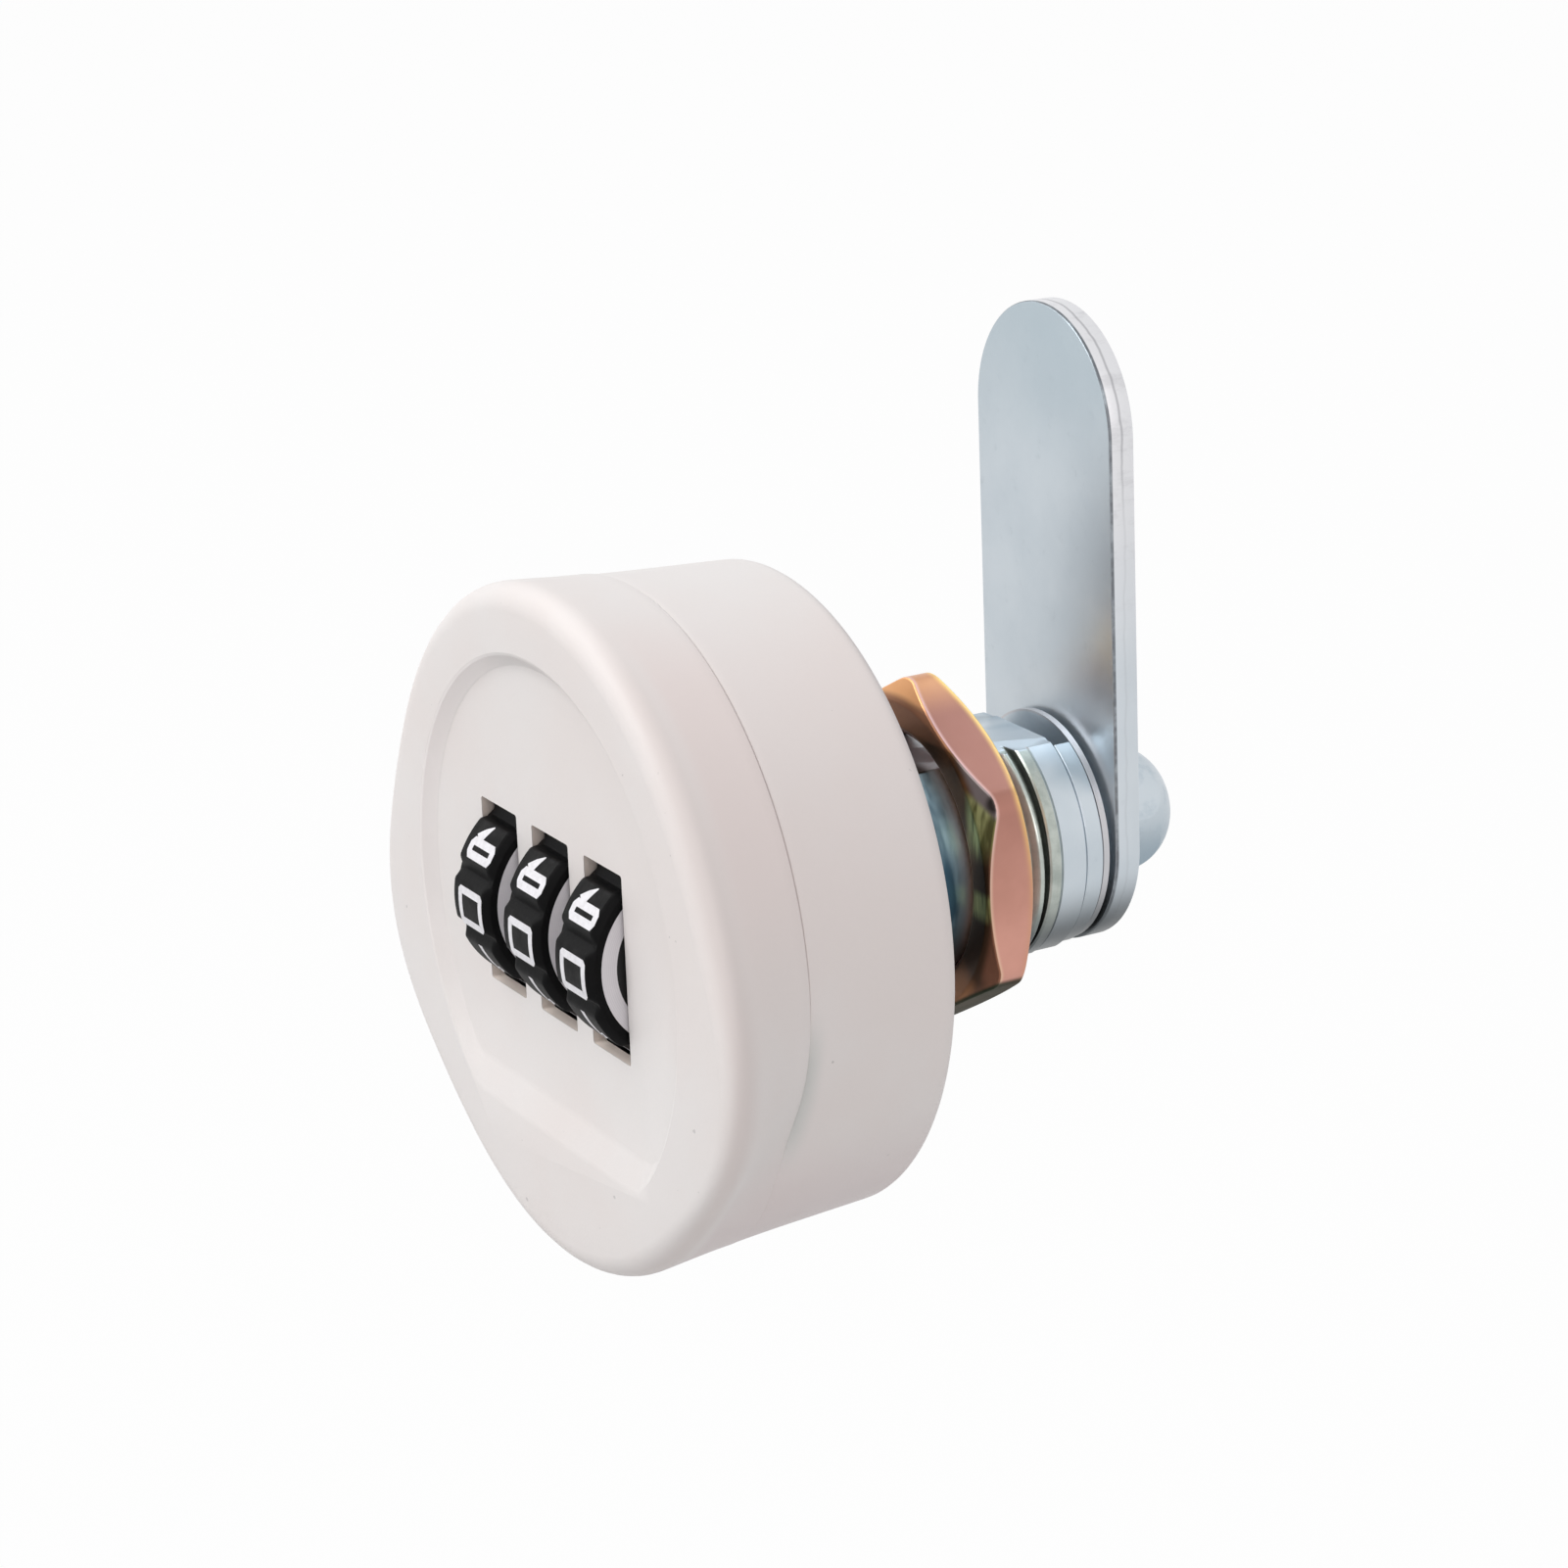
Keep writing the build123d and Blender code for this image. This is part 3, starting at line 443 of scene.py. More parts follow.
def passivated_nut():
    """Yellow passivated zinc: rosy flats, painted golden highlights on the edges, a dark olive front that is
    painted reflection of the gap, and painted light and shade by height and beneath.
    """
    f = Finish()
    x, y, z = f.axes()
    radius = x.across(z)
    cone = (radius - NUT_CHAMFER_RADIUS).at_least(0.0) * NUT_CHAMFER_SLOPE
    front_gap = y - NUT_FRONT_Y - cone
    rear_gap = NUT_REAR_Y - cone - y
    high = z.smooth(-5.0, 11.0)
    glow = f.noise(330.0, 3.0, 0.6, seed=5.5)
    outer = (radius - 11.6).smooth(0.0, 0.4)
    # Painted highlights along the rear and front edges, stronger towards the top
    rear_edge_highlight = (1.0 - rear_gap.smooth(0.0, 0.75)) ** 2.0 * (0.35 + 0.65 * high)
    rear_edge_highlight = rear_edge_highlight * (0.6 + 0.8 * glow) * outer
    front_edge_highlight = (1.0 - front_gap.smooth(0.08, 0.42)) * (0.6 + 0.4 * high) * outer
    cloud = f.noise(150.0, 4.0, 0.6)
    fine = f.noise(900.0, 4.0, 0.6, seed=2.3)
    rosy = f.blend(cloud.smooth(0.3, 0.7), (0.63, 0.315, 0.25), (0.55, 0.27, 0.21))
    # Painted shade on the upper flats, golden highlights brighter at the top, and painted peach light on the
    # top flat
    rosy = f.blend(high * 0.75, rosy, (0.30, 0.128, 0.098))
    golden = f.blend(high, (0.60, 0.30, 0.15), (0.95, 0.64, 0.22))
    peach = (0.92, 0.47, 0.21)
    rosy = f.blend((z - 11.4).smooth(0.0, 2.2) * 0.55, rosy, peach)
    colour = f.blend(rear_edge_highlight.clamped(), rosy, golden)
    colour = f.blend(front_edge_highlight * 0.7, colour, f.blend(high, (0.84, 0.66, 0.44), (0.88, 0.60, 0.60)))

    # Front, all painted reflection: browns, a mauve band below the upper right flat, rose and gold at the top
    reflection_smear = f.noise(130.0, 2.0, 0.5, stretch=(1.0, 1.0, 0.55), seed=9.0)
    patch = f.noise(210.0, 2.0, 0.5, stretch=(1.0, 1.0, 0.6), seed=14.0)
    dark = f.blend(reflection_smear.smooth(0.42, 0.62), (0.055, 0.026, 0.012), (0.27, 0.12, 0.05))
    brown = f.blend(patch.smooth(0.36, 0.60), (0.24, 0.105, 0.062), (0.045, 0.026, 0.013))
    edge = NUT_HALF_FLATS - 0.5 * x - 0.866 * z
    mauve = (1.6 - edge).smooth(0.0, 0.5) * (x - 6.8).smooth(0.0, 1.5)
    brown = f.blend(mauve * 0.9, brown, (0.34, 0.29, 0.29))
    facet = (z - 9.6).smooth(0.0, 0.5)
    brown = f.blend(facet * 0.9, brown, (0.40, 0.19, 0.12))
    brown = f.blend((z - 11.6).smooth(0.0, 0.6) * 0.9, brown, peach)
    dark = f.blend(facet * 0.8, dark, (0.34, 0.155, 0.085))
    dark = f.blend((radius - 11.9).smooth(0.0, 0.6), dark, brown)

    # Painted reflection: green streaks on the right, and painted shade as a dark notch at the corner
    reflection_reeds = f.noise(620.0, 3.0, 0.6, stretch=(1.0, 1.0, 0.12), seed=21.0)
    green = f.blend(reflection_reeds.smooth(0.42, 0.56), (0.16, 0.155, 0.055), (0.60, 0.60, 0.26))
    upper = (edge - 0.7).smooth(0.0, 0.5) * (z - 2.0).smooth(0.0, 2.2)
    lower = (0.4 - z).smooth(0.0, 0.8) * (z + 2.4).smooth(0.0, 1.2) * 0.75
    streak = (x - 9.8 + 1.6 * patch).smooth(0.0, 1.2) * (upper + lower)
    dark = f.blend(streak.clamped() * 0.95, dark, green)
    corner = (1.0 - (x - 11.75).across(z - 6.9)).smooth(0.0, 0.6)
    dark = f.blend(corner * 0.85, dark, (0.020, 0.014, 0.010))
    front = (0.14 - front_gap).smooth(0.0, 0.08)
    colour = f.blend(front, colour, dark)
    # Painted shade on the flats that face down, dark green
    under = (0.5 * x - 0.866 * z - 11.6).smooth(0.0, 0.3) * (x + 4.0).smooth(0.0, 4.0)
    shade = f.blend(patch.smooth(0.35, 0.65), (0.012, 0.034, 0.018), (0.036, 0.042, 0.024))
    colour = f.blend(under * 0.92, colour, shade)
    return f.surface(
        base_color=colour,
        metallic=0.85,
        roughness=0.28 + 0.16 * fine + 0.40 * under,
        normal=f.bump(fine + cloud, 0.12, 0.00005),
        coat_weight=0.12 * (1.0 - under) * (1.0 - front),
    )


# Mesh helpers

# Turns what bmesh makes about Z, so that it stands about Y
ABOUT_Y = Matrix.Rotation(math.radians(90), 4, "X")


def new_piece(name, mesh, slot, body, nodes=(), angle=30.0, finish=None):
    """Closes a bmesh, gives it its finish and hangs it on its body."""
    bmesh.ops.remove_doubles(mesh, verts=mesh.verts, dist=1e-7)
    piece = object_of(name, mesh)
    piece.data.materials.append(finish_for(finish or slot))
    smooth(piece, angle)
    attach(piece, body)
    if nodes:
        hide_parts(*nodes)
    return piece


def object_of(name, mesh):
    """Turns a bmesh in millimetres into an object in metres, and frees it."""
    bmesh.ops.recalc_face_normals(mesh, faces=mesh.faces)
    bmesh.ops.scale(mesh, vec=(MM, MM, MM), verts=mesh.verts)
    data = bpy.data.meshes.new(name)
    mesh.to_mesh(data)
    mesh.free()
    return put(name, data)


def put(name, data):
    """Adds an object to the scene."""
    made = bpy.data.objects.new(name, data)
    bpy.context.scene.collection.objects.link(made)
    return made


def smooth(piece, angle):
    """Shades a piece smooth, but for edges sharper than an angle in degrees."""
    piece.data.shade_smooth()
    piece.data.set_sharp_from_angle(angle=math.radians(angle))


def spun_profile(points, steps, axis=(0, 1, 0), centre=(0, 0, 0)):
    """Closed turning of a profile given as (radius, height) pairs about an axis."""
    mesh = bmesh.new()
    along = Vector(axis)
    out = Vector((0, 0, 1))
    verts = [mesh.verts.new(Vector(centre) + out * r + along * h) for r, h in points]
    edges = [mesh.edges.new((a, b)) for a, b in zip(verts, verts[1:])]
    bmesh.ops.spin(
        mesh, geom=verts + edges, cent=centre, axis=axis, dvec=(0, 0, 0),
        angle=2 * math.pi, steps=steps, use_merge=True, use_duplicate=False,
    )
    bmesh.ops.remove_doubles(mesh, verts=mesh.verts, dist=1e-5)
    bmesh.ops.recalc_face_normals(mesh, faces=mesh.faces)
    return mesh


def cut_with(piece, mesh, operation="DIFFERENCE"):
    """Cuts a piece by a bmesh in millimetres."""
    cutter = object_of("cutter", mesh)
    modifier = piece.modifiers.new("cut", "BOOLEAN")
    modifier.operation = operation
    modifier.object = cutter
    modifier.solver = "EXACT"
    graph = bpy.context.evaluated_depsgraph_get()
    data = bpy.data.meshes.new_from_object(piece.evaluated_get(graph))
    piece.modifiers.clear()
    old = piece.data
    piece.data = data
    bpy.data.meshes.remove(old)
    bpy.data.objects.remove(cutter)


def block(size, place):
    """A block of a given size about a place."""
    mesh = bmesh.new()
    bmesh.ops.create_cube(mesh, size=1.0)
    bmesh.ops.scale(mesh, vec=size, verts=mesh.verts)
    bmesh.ops.translate(mesh, vec=place, verts=mesh.verts)
    return mesh


def prism(sides, radius, front, rear):
    """A straight column about Y, between two depths."""
    mesh = bmesh.new()
    bmesh.ops.create_cone(
        mesh, cap_ends=True, cap_tris=False, segments=sides, radius1=radius, radius2=radius,
        depth=rear - front, matrix=Matrix.Translation((0, (front + rear) / 2, 0)) @ ABOUT_Y,
    )
    return mesh


def circle(mesh, segments, place):
    """Adds a unit circle about Y, moves its points as place(verts) says, and returns its edges."""
    made = bmesh.ops.create_circle(mesh, cap_ends=False, segments=segments, radius=1.0, matrix=ABOUT_Y)
    moved = list(place(made["verts"]))
    for v, co in moved:
        v.co = co
    return list(dict.fromkeys(e for v, co in moved for e in v.link_edges))


def loft(mesh, loops):
    """Joins loops of edges, one after another, and closes both ends."""
    for one, two in zip(loops, loops[1:]):
        bmesh.ops.bridge_loops(mesh, edges=one + two)
    bmesh.ops.edgeloop_fill(mesh, edges=loops[-1])
    bmesh.ops.edgeloop_fill(mesh, edges=loops[0])


def round_edges(mesh, edges, offset, segments):
    bmesh.ops.bevel(
        mesh, geom=edges, offset=offset, segments=segments, affect="EDGES", profile=0.5, material=-1
    )


def edges_along_y(mesh):
    return [e for e in mesh.edges if abs(e.verts[0].co.y - e.verts[1].co.y) > 1]


def trim(mesh, place, outward):
    """Cuts away what lies beyond a plane."""
    bmesh.ops.bisect_plane(
        mesh, geom=mesh.verts[:] + mesh.edges[:] + mesh.faces[:], plane_co=place, plane_no=outward,
        clear_outer=True, clear_inner=False, dist=1e-5,
    )


def cut_flats(piece, length, middle):
    """Cuts the two flats of the barrel over a length along Y."""
    for side in (1, -1):
        cut_with(piece, block((30.0, length, 4.0), (0, middle, side * (FLAT_Z + 2.0))))


def swell(angle, centre, spread, height=1.0):
    """A smooth bump over the clock angle."""
    return height * math.exp(-(((angle - centre) / spread) ** 2))


def closed_gap(angle):
    """How far the parting line closes up at a clock angle: wholly at the lower right."""
    return min(0.45 + swell(angle, 156, 30, 1.6), 1.0)


def clock(co):
    """Angle from the top of the lock, 0 to 180 degrees, the same on both sides."""
    return abs(math.degrees(math.atan2(co.x, co.z)))


# The pieces that a user can change

def size_choice(name, description, default, low, high):
    return bpy.props.FloatProperty(
        name=name, description=description, default=default, min=low, max=high, unit="LENGTH"
    )


def colour_choice(name, description, default):
    return bpy.props.FloatVectorProperty(
        name=name, description=description, subtype="COLOR", size=3, min=0.0, max=1.0, default=default
    )


class LockSizes(bpy.types.PropertyGroup):
    """Sizes of the finished lock."""

    edge_round: size_choice("Cover edge", "Rounding of the cover's front edge", 0.0020, 0.0005, 0.003)
    thread_pitch: size_choice("Thread pitch", "Distance between two threads", 0.00145, 0.0005, 0.003)
    thread_depth: size_choice("Thread depth", "Depth of the barrel thread", 0.00062, 0.0001, 0.001)
    numeral_stroke: size_choice("Numeral stroke", "Width of a numeral's line", 0.00058, 0.0002, 0.0008)
    nut_round: size_choice("Nut edge", "Rounding of the nut's edges", 0.00028, 0.0001, 0.0006)
    cam_round: size_choice("Cam edge", "Rounding of the cam's stamped edge", 0.00024, 0.0001, 0.0006)


class LockColours(bpy.types.PropertyGroup):
    """Colours of the finished lock."""

    shell: colour_choice("Shell", "Colour of the knob's cover and ring", srgb(230, 226, 224))
    zinc: colour_choice("Zinc", "Bright colour of the zinc plating", srgb(203, 211, 217))
    zinc_shade: colour_choice("Zinc shade", "Darker colour of the zinc plating", srgb(178, 190, 199))
    floor: colour_choice("Floor", "Colour of the studio floor", (0.58, 0.58, 0.58))


def finish_for(slot):
    """The material of a slot, made once."""
    made = bpy.data.materials.get("ready_" + slot)
    if made:
        return made
    colours = bpy.context.scene.dial_lock_colours
    zinc, shade = tuple(colours.zinc), tuple(colours.zinc_shade)

    def zinc_plate(*choices):
        return lambda: plated_zinc(zinc, shade, *choices)

    recipes = {
        "shell": lambda: satin_shell(tuple(colours.shell)),
        "dial_black": wheel_black,
        "numeral": numeral_white,
        "sleeve_grey": sleeve_grey,
        "hub_black": lambda: plain_finish(
            (1500.0, 3.0, 0.5), (0.008, 0.008, 0.008), (0.016, 0.016, 0.016), (0.50, 0.15), 0.10, 0.00003
        ),
        "cast_zinc": zinc_plate(0.24, (1, 5, 1), 0.5, barrel_zones),
        "cam_steel": zinc_plate(0.30, (5, 1, 0.5), 0.5, cam_zones),
        "bright_steel": zinc_plate(0.24, (1, 6, 1), 0.6, washer_zones),
        "bolt_steel": zinc_plate(0.25, (1, 1, 1), 0.6, bolt_zones),
        "nut_plating": passivated_nut,
        "spring_steel": lambda: plain_finish(
            (3000.0, 3.0, 0.6), (0.40, 0.40, 0.41), (0.28, 0.28, 0.29), (0.32, 0.10), 0.10, 0.00002, 1.0
        ),
        "frame": lambda: plain_finish(
            (800.0, 4.0, 0.6), (0.030, 0.030, 0.031), (0.050, 0.049, 0.048), (0.55, 0.15), 0.15, 0.00004
        ),
    }
    made = recipes[slot]()
    made.name = "ready_" + slot
    return made


# Operators, one for each piece or group of like pieces

class DIALLOCK_OT_finishes(bpy.types.Operator):
    """Gives every carried piece of the lock its procedural material"""

    bl_idname = "diallock.finishes"
    bl_label = "Finish the carried pieces"

    def execute(self, context):
        slots = {entry["node"]: entry["material_slot"] for entry in frame["record"]["subparts"]}
        for name, node in frame["nodes"].items():
            material = finish_for(slots[name])
            if not node.material_slots:
                node.data.materials.append(material)
            for place in node.material_slots:
                place.material = material
        return {"FINISHED"}


class DIALLOCK_OT_cover(bpy.types.Operator):
    """Makes the turning cover: eared outline, rounded edge, dished face and dial windows"""

    bl_idname = "diallock.cover"
    bl_label = "Front cover"

    def execute(self, context):
        edge = context.scene.dial_lock_sizes.edge_round / MM
        mesh = bmesh.new()

        def ring(radius_at, y):
            def place(verts):
                for v in verts:
                    out = radius_at(clock(v.co))
                    yield v, Vector((v.co.x * out, y, v.co.z * out))
            return circle(mesh, ROUND_STEPS, place)

        def side(y):
            """Outline at a depth: eared at the front, scooped at the rear."""
            t = (y - FACE_Y) / (PARTING_Y - FACE_Y)
            t = t * t * (3 - 2 * t) * 0.35 + t * 0.65

            def at(angle):
                front = COVER_RADIUS + swell(angle, *EARS)
                rear = COVER_REAR_RADIUS - swell(angle, *SCOOPS)
                return front + (rear - front) * t
            return at

        loops = [ring(lambda a: FACE_RADIUS, FACE_Y)]
        for n in range(9):
            turn = math.radians(90 * n / 8)
            y = FACE_Y + edge - edge * math.cos(turn)
            inset = edge - edge * math.sin(turn)
            at = side(y)
            loops.append(ring(lambda a, at=at, inset=inset: at(a) - inset, y))
        for n in range(1, 9):
            y = FACE_Y + edge + (PARTING_Y - 0.15 - FACE_Y - edge) * n / 8
            loops.append(ring(side(y), y))
        at = side(PARTING_Y)
        for inset, y in ((0.04, PARTING_Y - 0.04), (0.15, PARTING_Y)):
            loops.append(ring(lambda a, inset=inset: at(a) - inset * (1 - closed_gap(a)), y))
        for y in (PARTING_Y, POCKET_Y):
            loops.append(ring(lambda a: POCKET_RADIUS, y))
        loft(mesh, loops)
        piece = new_piece("cover_shell", mesh, "shell", "knob", ("front_cover",))
        self.cut_dish(piece)
        cut_with(piece, block((28.9, 2.6, 16.6), (1.0, -17.0, DIAL_Z)))
        for n in DIALS:
            window = block((5.75, 8.0, 14.1), (0, 0, 0))
            round_edges(window, edges_along_y(window), 0.22, 3)
            bmesh.ops.translate(window, vec=((n - 2) * DIAL_PITCH, -19.0, DIAL_Z), verts=window.verts)
            cut_with(piece, window)
        smooth(piece, 24)
        return {"FINISHED"}

    def cut_dish(self, piece):
        """Sinks the face: a circle cut off by a chord, getting smaller with depth."""
        dish = bmesh.new()

        def outline(radius, chord, corner, y):
            def around(v):
                angle = math.atan2(v.co.z, v.co.x)
                return angle if angle > -math.pi / 2 else angle + 2 * math.pi

            def place(verts):
                path = arc_with_chord(radius, chord, corner, len(verts))
                for v, (x, z) in zip(sorted(verts, key=around), path):
                    yield v, Vector((x, y, z))
            return circle(dish, 96, place)

        levels = (
            (20.75, -16.6, 2.4, FACE_Y - 0.6),
            (20.42, -15.95, 2.3, FACE_Y),
            (20.20, -15.5, 2.2, FACE_Y + 0.10),
            (19.55, -13.7, 1.9, FLOOR_Y - 0.14),
            (19.30, -13.2, 1.7, FLOOR_Y),
        )
        loft(dish, [outline(*level) for level in levels])
        cut_with(piece, dish)


def arc_with_chord(radius, chord, corner, count):
    """Points (x, z) of a circle cut off by a chord with rounded corners, anticlockwise from its middle."""
    cz = chord + corner
    cx = math.sqrt(max((radius - corner) ** 2 - cz ** 2, 0.0))
    tangent = math.atan2(cz, cx)
    pieces = [(cx * n / 40, chord) for n in range(41)]
    for n in range(1, 25):
        a = -math.pi / 2 + (tangent + math.pi / 2) * n / 24
        pieces.append((cx + corner * math.cos(a), cz + corner * math.sin(a)))
    for n in range(1, 161):
        a = tangent + (math.pi / 2 - tangent) * n / 160
        pieces.append((radius * math.cos(a), radius * math.sin(a)))
    whole = pieces + [(-x, z) for x, z in reversed(pieces[1:-1])]
    lengths = [0.0]
    for a, b in zip(whole, whole[1:] + whole[:1]):
        lengths.append(lengths[-1] + math.hypot(b[0] - a[0], b[1] - a[1]))
    total = lengths[-1]
    made = []
    for n in range(count):
        want = total * n / count
        i = max(k for k, value in enumerate(lengths[:-1]) if value <= want)
        a, b = whole[i], whole[(i + 1) % len(whole)]
        t = (want - lengths[i]) / max(lengths[i + 1] - lengths[i], 1e-9)
        made.append((a[0] + (b[0] - a[0]) * t, a[1] + (b[1] - a[1]) * t))
    return made


class DIALLOCK_OT_ring(bpy.types.Operator):
    """Makes the fixed base ring with its rounded rim, finger scoops and panel face"""

    bl_idname = "diallock.ring"
    bl_label = "Base ring"

    def execute(self, context):
        length, rim = 12.05, 1.0
        taper = 0.7 / length
        profile = [(22.3, -2.8), (22.3, RING_FRONT_Y + 0.1), (22.4, RING_FRONT_Y), (24.45, RING_FRONT_Y)]
        profile += [(24.57, RING_FRONT_Y + 0.05), (RING_RADIUS - taper * 0.15, RING_FRONT_Y + 0.16)]
        for n in range(1, 25):
            y = RING_FRONT_Y + 0.16 + (length - 0.16 - rim) * n / 24
            profile.append((RING_RADIUS - taper * (y - RING_FRONT_Y), y))
        for n in range(1, 8):
            turn = math.radians(90 * n / 7)
            profile.append((22.9 + rim * math.cos(turn) + 0.06 * (1 - n / 7), rim * math.sin(turn) - rim))
        profile += [(9.6, 0.0), (9.6, -1.58), (12.86, -1.58), (12.86, -2.8), (22.3, -2.8)]
        mesh = spun_profile(profile, ROUND_STEPS)
        scooped_to = -4.5
        for v in mesh.verts:
            out = math.hypot(v.co.x, v.co.z)
            if out > 22.5 and v.co.y < scooped_to:
                t = (v.co.y - RING_FRONT_Y) / (scooped_to - RING_FRONT_Y)
                angle = clock(v.co)
                shut = closed_gap(angle)
                if v.co.y < RING_FRONT_Y + 0.2:
                    v.co.y -= 0.115 * shut
                    raised = 24.7 - out if out > 24.0 else 0.0
                else:
                    raised = 0.12 * (1 - t) ** 3
                depth = swell(angle, *SCOOPS) * (1 - t) ** 2 + swell(angle, 106, 13, 0.45) * (1 - t) ** 9
                v.co.x *= (out - depth + shut * raised) / out
                v.co.z *= (out - depth + shut * raised) / out
        new_piece("ring_shell", mesh, "shell", "housing", ("base_ring",), 32.0)
        return {"FINISHED"}


class DIALLOCK_OT_dials(bpy.types.Operator):
    """Makes the three number wheels with their raised pads"""

    bl_idname = "diallock.dials"
    bl_label = "Dial wheels"

    def execute(self, context):
        for n in DIALS:
            half = WHEEL_HALF_WIDTH
            profile = [(6.46, -half), (6.98, -half)]
            profile += [(PAD_RADIUS, -2.62 + 5.24 * k / 26) for k in range(27)]
            profile += [(6.98, half), (6.46, half), (6.46, -half)]
            mesh = spun_profile(profile, 300, axis=(1, 0, 0), centre=(0, DIAL_Y, DIAL_Z))
            for v in mesh.verts:
                y, z = v.co.y - DIAL_Y, v.co.z - DIAL_Z
                out = math.hypot(y, z)
                if out < 7.3:
                    continue
                angle = math.degrees(math.atan2(z, -y)) % 36.0
                along = math.radians(min(angle, 36.0 - angle)) * PAD_RADIUS
                past_side = max(abs(v.co.x) - PAD_HALF_WIDTH, 0.0) / 0.45
                past_end = max(along - PAD_HALF_LENGTH, 0.0) / 0.8
                fall = min(math.hypot(past_side, past_end), 1.0)
                r = PAD_RADIUS - PAD_HEIGHT * fall ** 1.15
                v.co.y = DIAL_Y + y / out * r
                v.co.z = DIAL_Z + z / out * r
            bmesh.ops.translate(mesh, vec=((n - 2) * DIAL_PITCH, 0, 0), verts=mesh.verts)
            new_piece(f"dial_{n}_wheel", mesh, "dial_black", f"dial_{n}", (f"dial_wheel_{n}",), 40.0)
        return {"FINISHED"}


NUMERAL_HALF_WIDTH = 1.6
NUMERAL_HALF_HEIGHT = 1.2
NUMERAL_ASIDE = 0.42
NUMERAL_THICKNESS = 0.02

# Centre lines of the numerals, in units of half their width and half their height;
# a third number makes the line that many times as wide there
STROKES = {
    "0": [
        [(-1, -0.7), (-0.92, -0.8), (0.92, -0.8), (1, -0.7), (1, 1.1), (0.92, 1.2), (-0.92, 1.2), (-1, 1.1),
         (-1, -0.7)],
    ],
    "1": [[(-0.62, 0.42), (0.12, 1), (0.12, -1.22)]],
    "2": [[(-1, 0.5), (-1, 0.82), (-0.8, 1), (0.8, 1), (1, 0.8), (1, 0.36), (-1, -0.66), (-1, -1), (1.18, -1)]],
    "3": [
        [(-1.15, 1), (1, 1), (0.15, 0.14), (0.8, 0.14), (1, -0.08), (1, -0.8), (0.8, -1), (-0.8, -1),
         (-1, -0.8), (-1, -0.6)],
    ],
    "4": [[(0.5, -1.22), (0.5, 1), (-1, -0.42), (1.18, -0.42)]],
    "5": [[(1.15, 1), (-0.95, 1), (-0.95, 0.18), (0.8, 0.18), (1, -0.02), (1, -0.8), (0.8, -1), (-1.15, -1)]],
    "6": [
        [(-1, -0.7, 1.08), (-0.88, -0.91, 1.08), (0.88, -0.91, 1.08), (1, -0.7, 1.08), (1, -0.26, 1.08),
         (0.88, -0.05, 1.08), (-0.88, -0.05, 1.08), (-1, -0.26, 1.08), (-1, -0.7, 1.08)],
        [(0.0, 1.2, 0.2), (-0.36, 0.68, 1.2), (-0.70, 0.08, 2.0)],
    ],
    "7": [[(-1.15, 1), (1, 1), (1, 0.72), (-0.25, -1.22)]],
    "8": [
        [(-0.8, 0.06), (-1, 0.24), (-1, 0.82), (-0.8, 1), (0.8, 1), (1, 0.82), (1, 0.24), (0.8, 0.06),
         (-0.8, 0.06)],
        [(-0.8, 0.06), (-1, -0.14), (-1, -0.82), (-0.8, -1), (0.8, -1), (1, -0.82), (1, -0.14), (0.8, 0.06)],
    ],
}
STROKES["9"] = [[(-x, -z, w) for x, z, w in line] for line in STROKES["6"]]


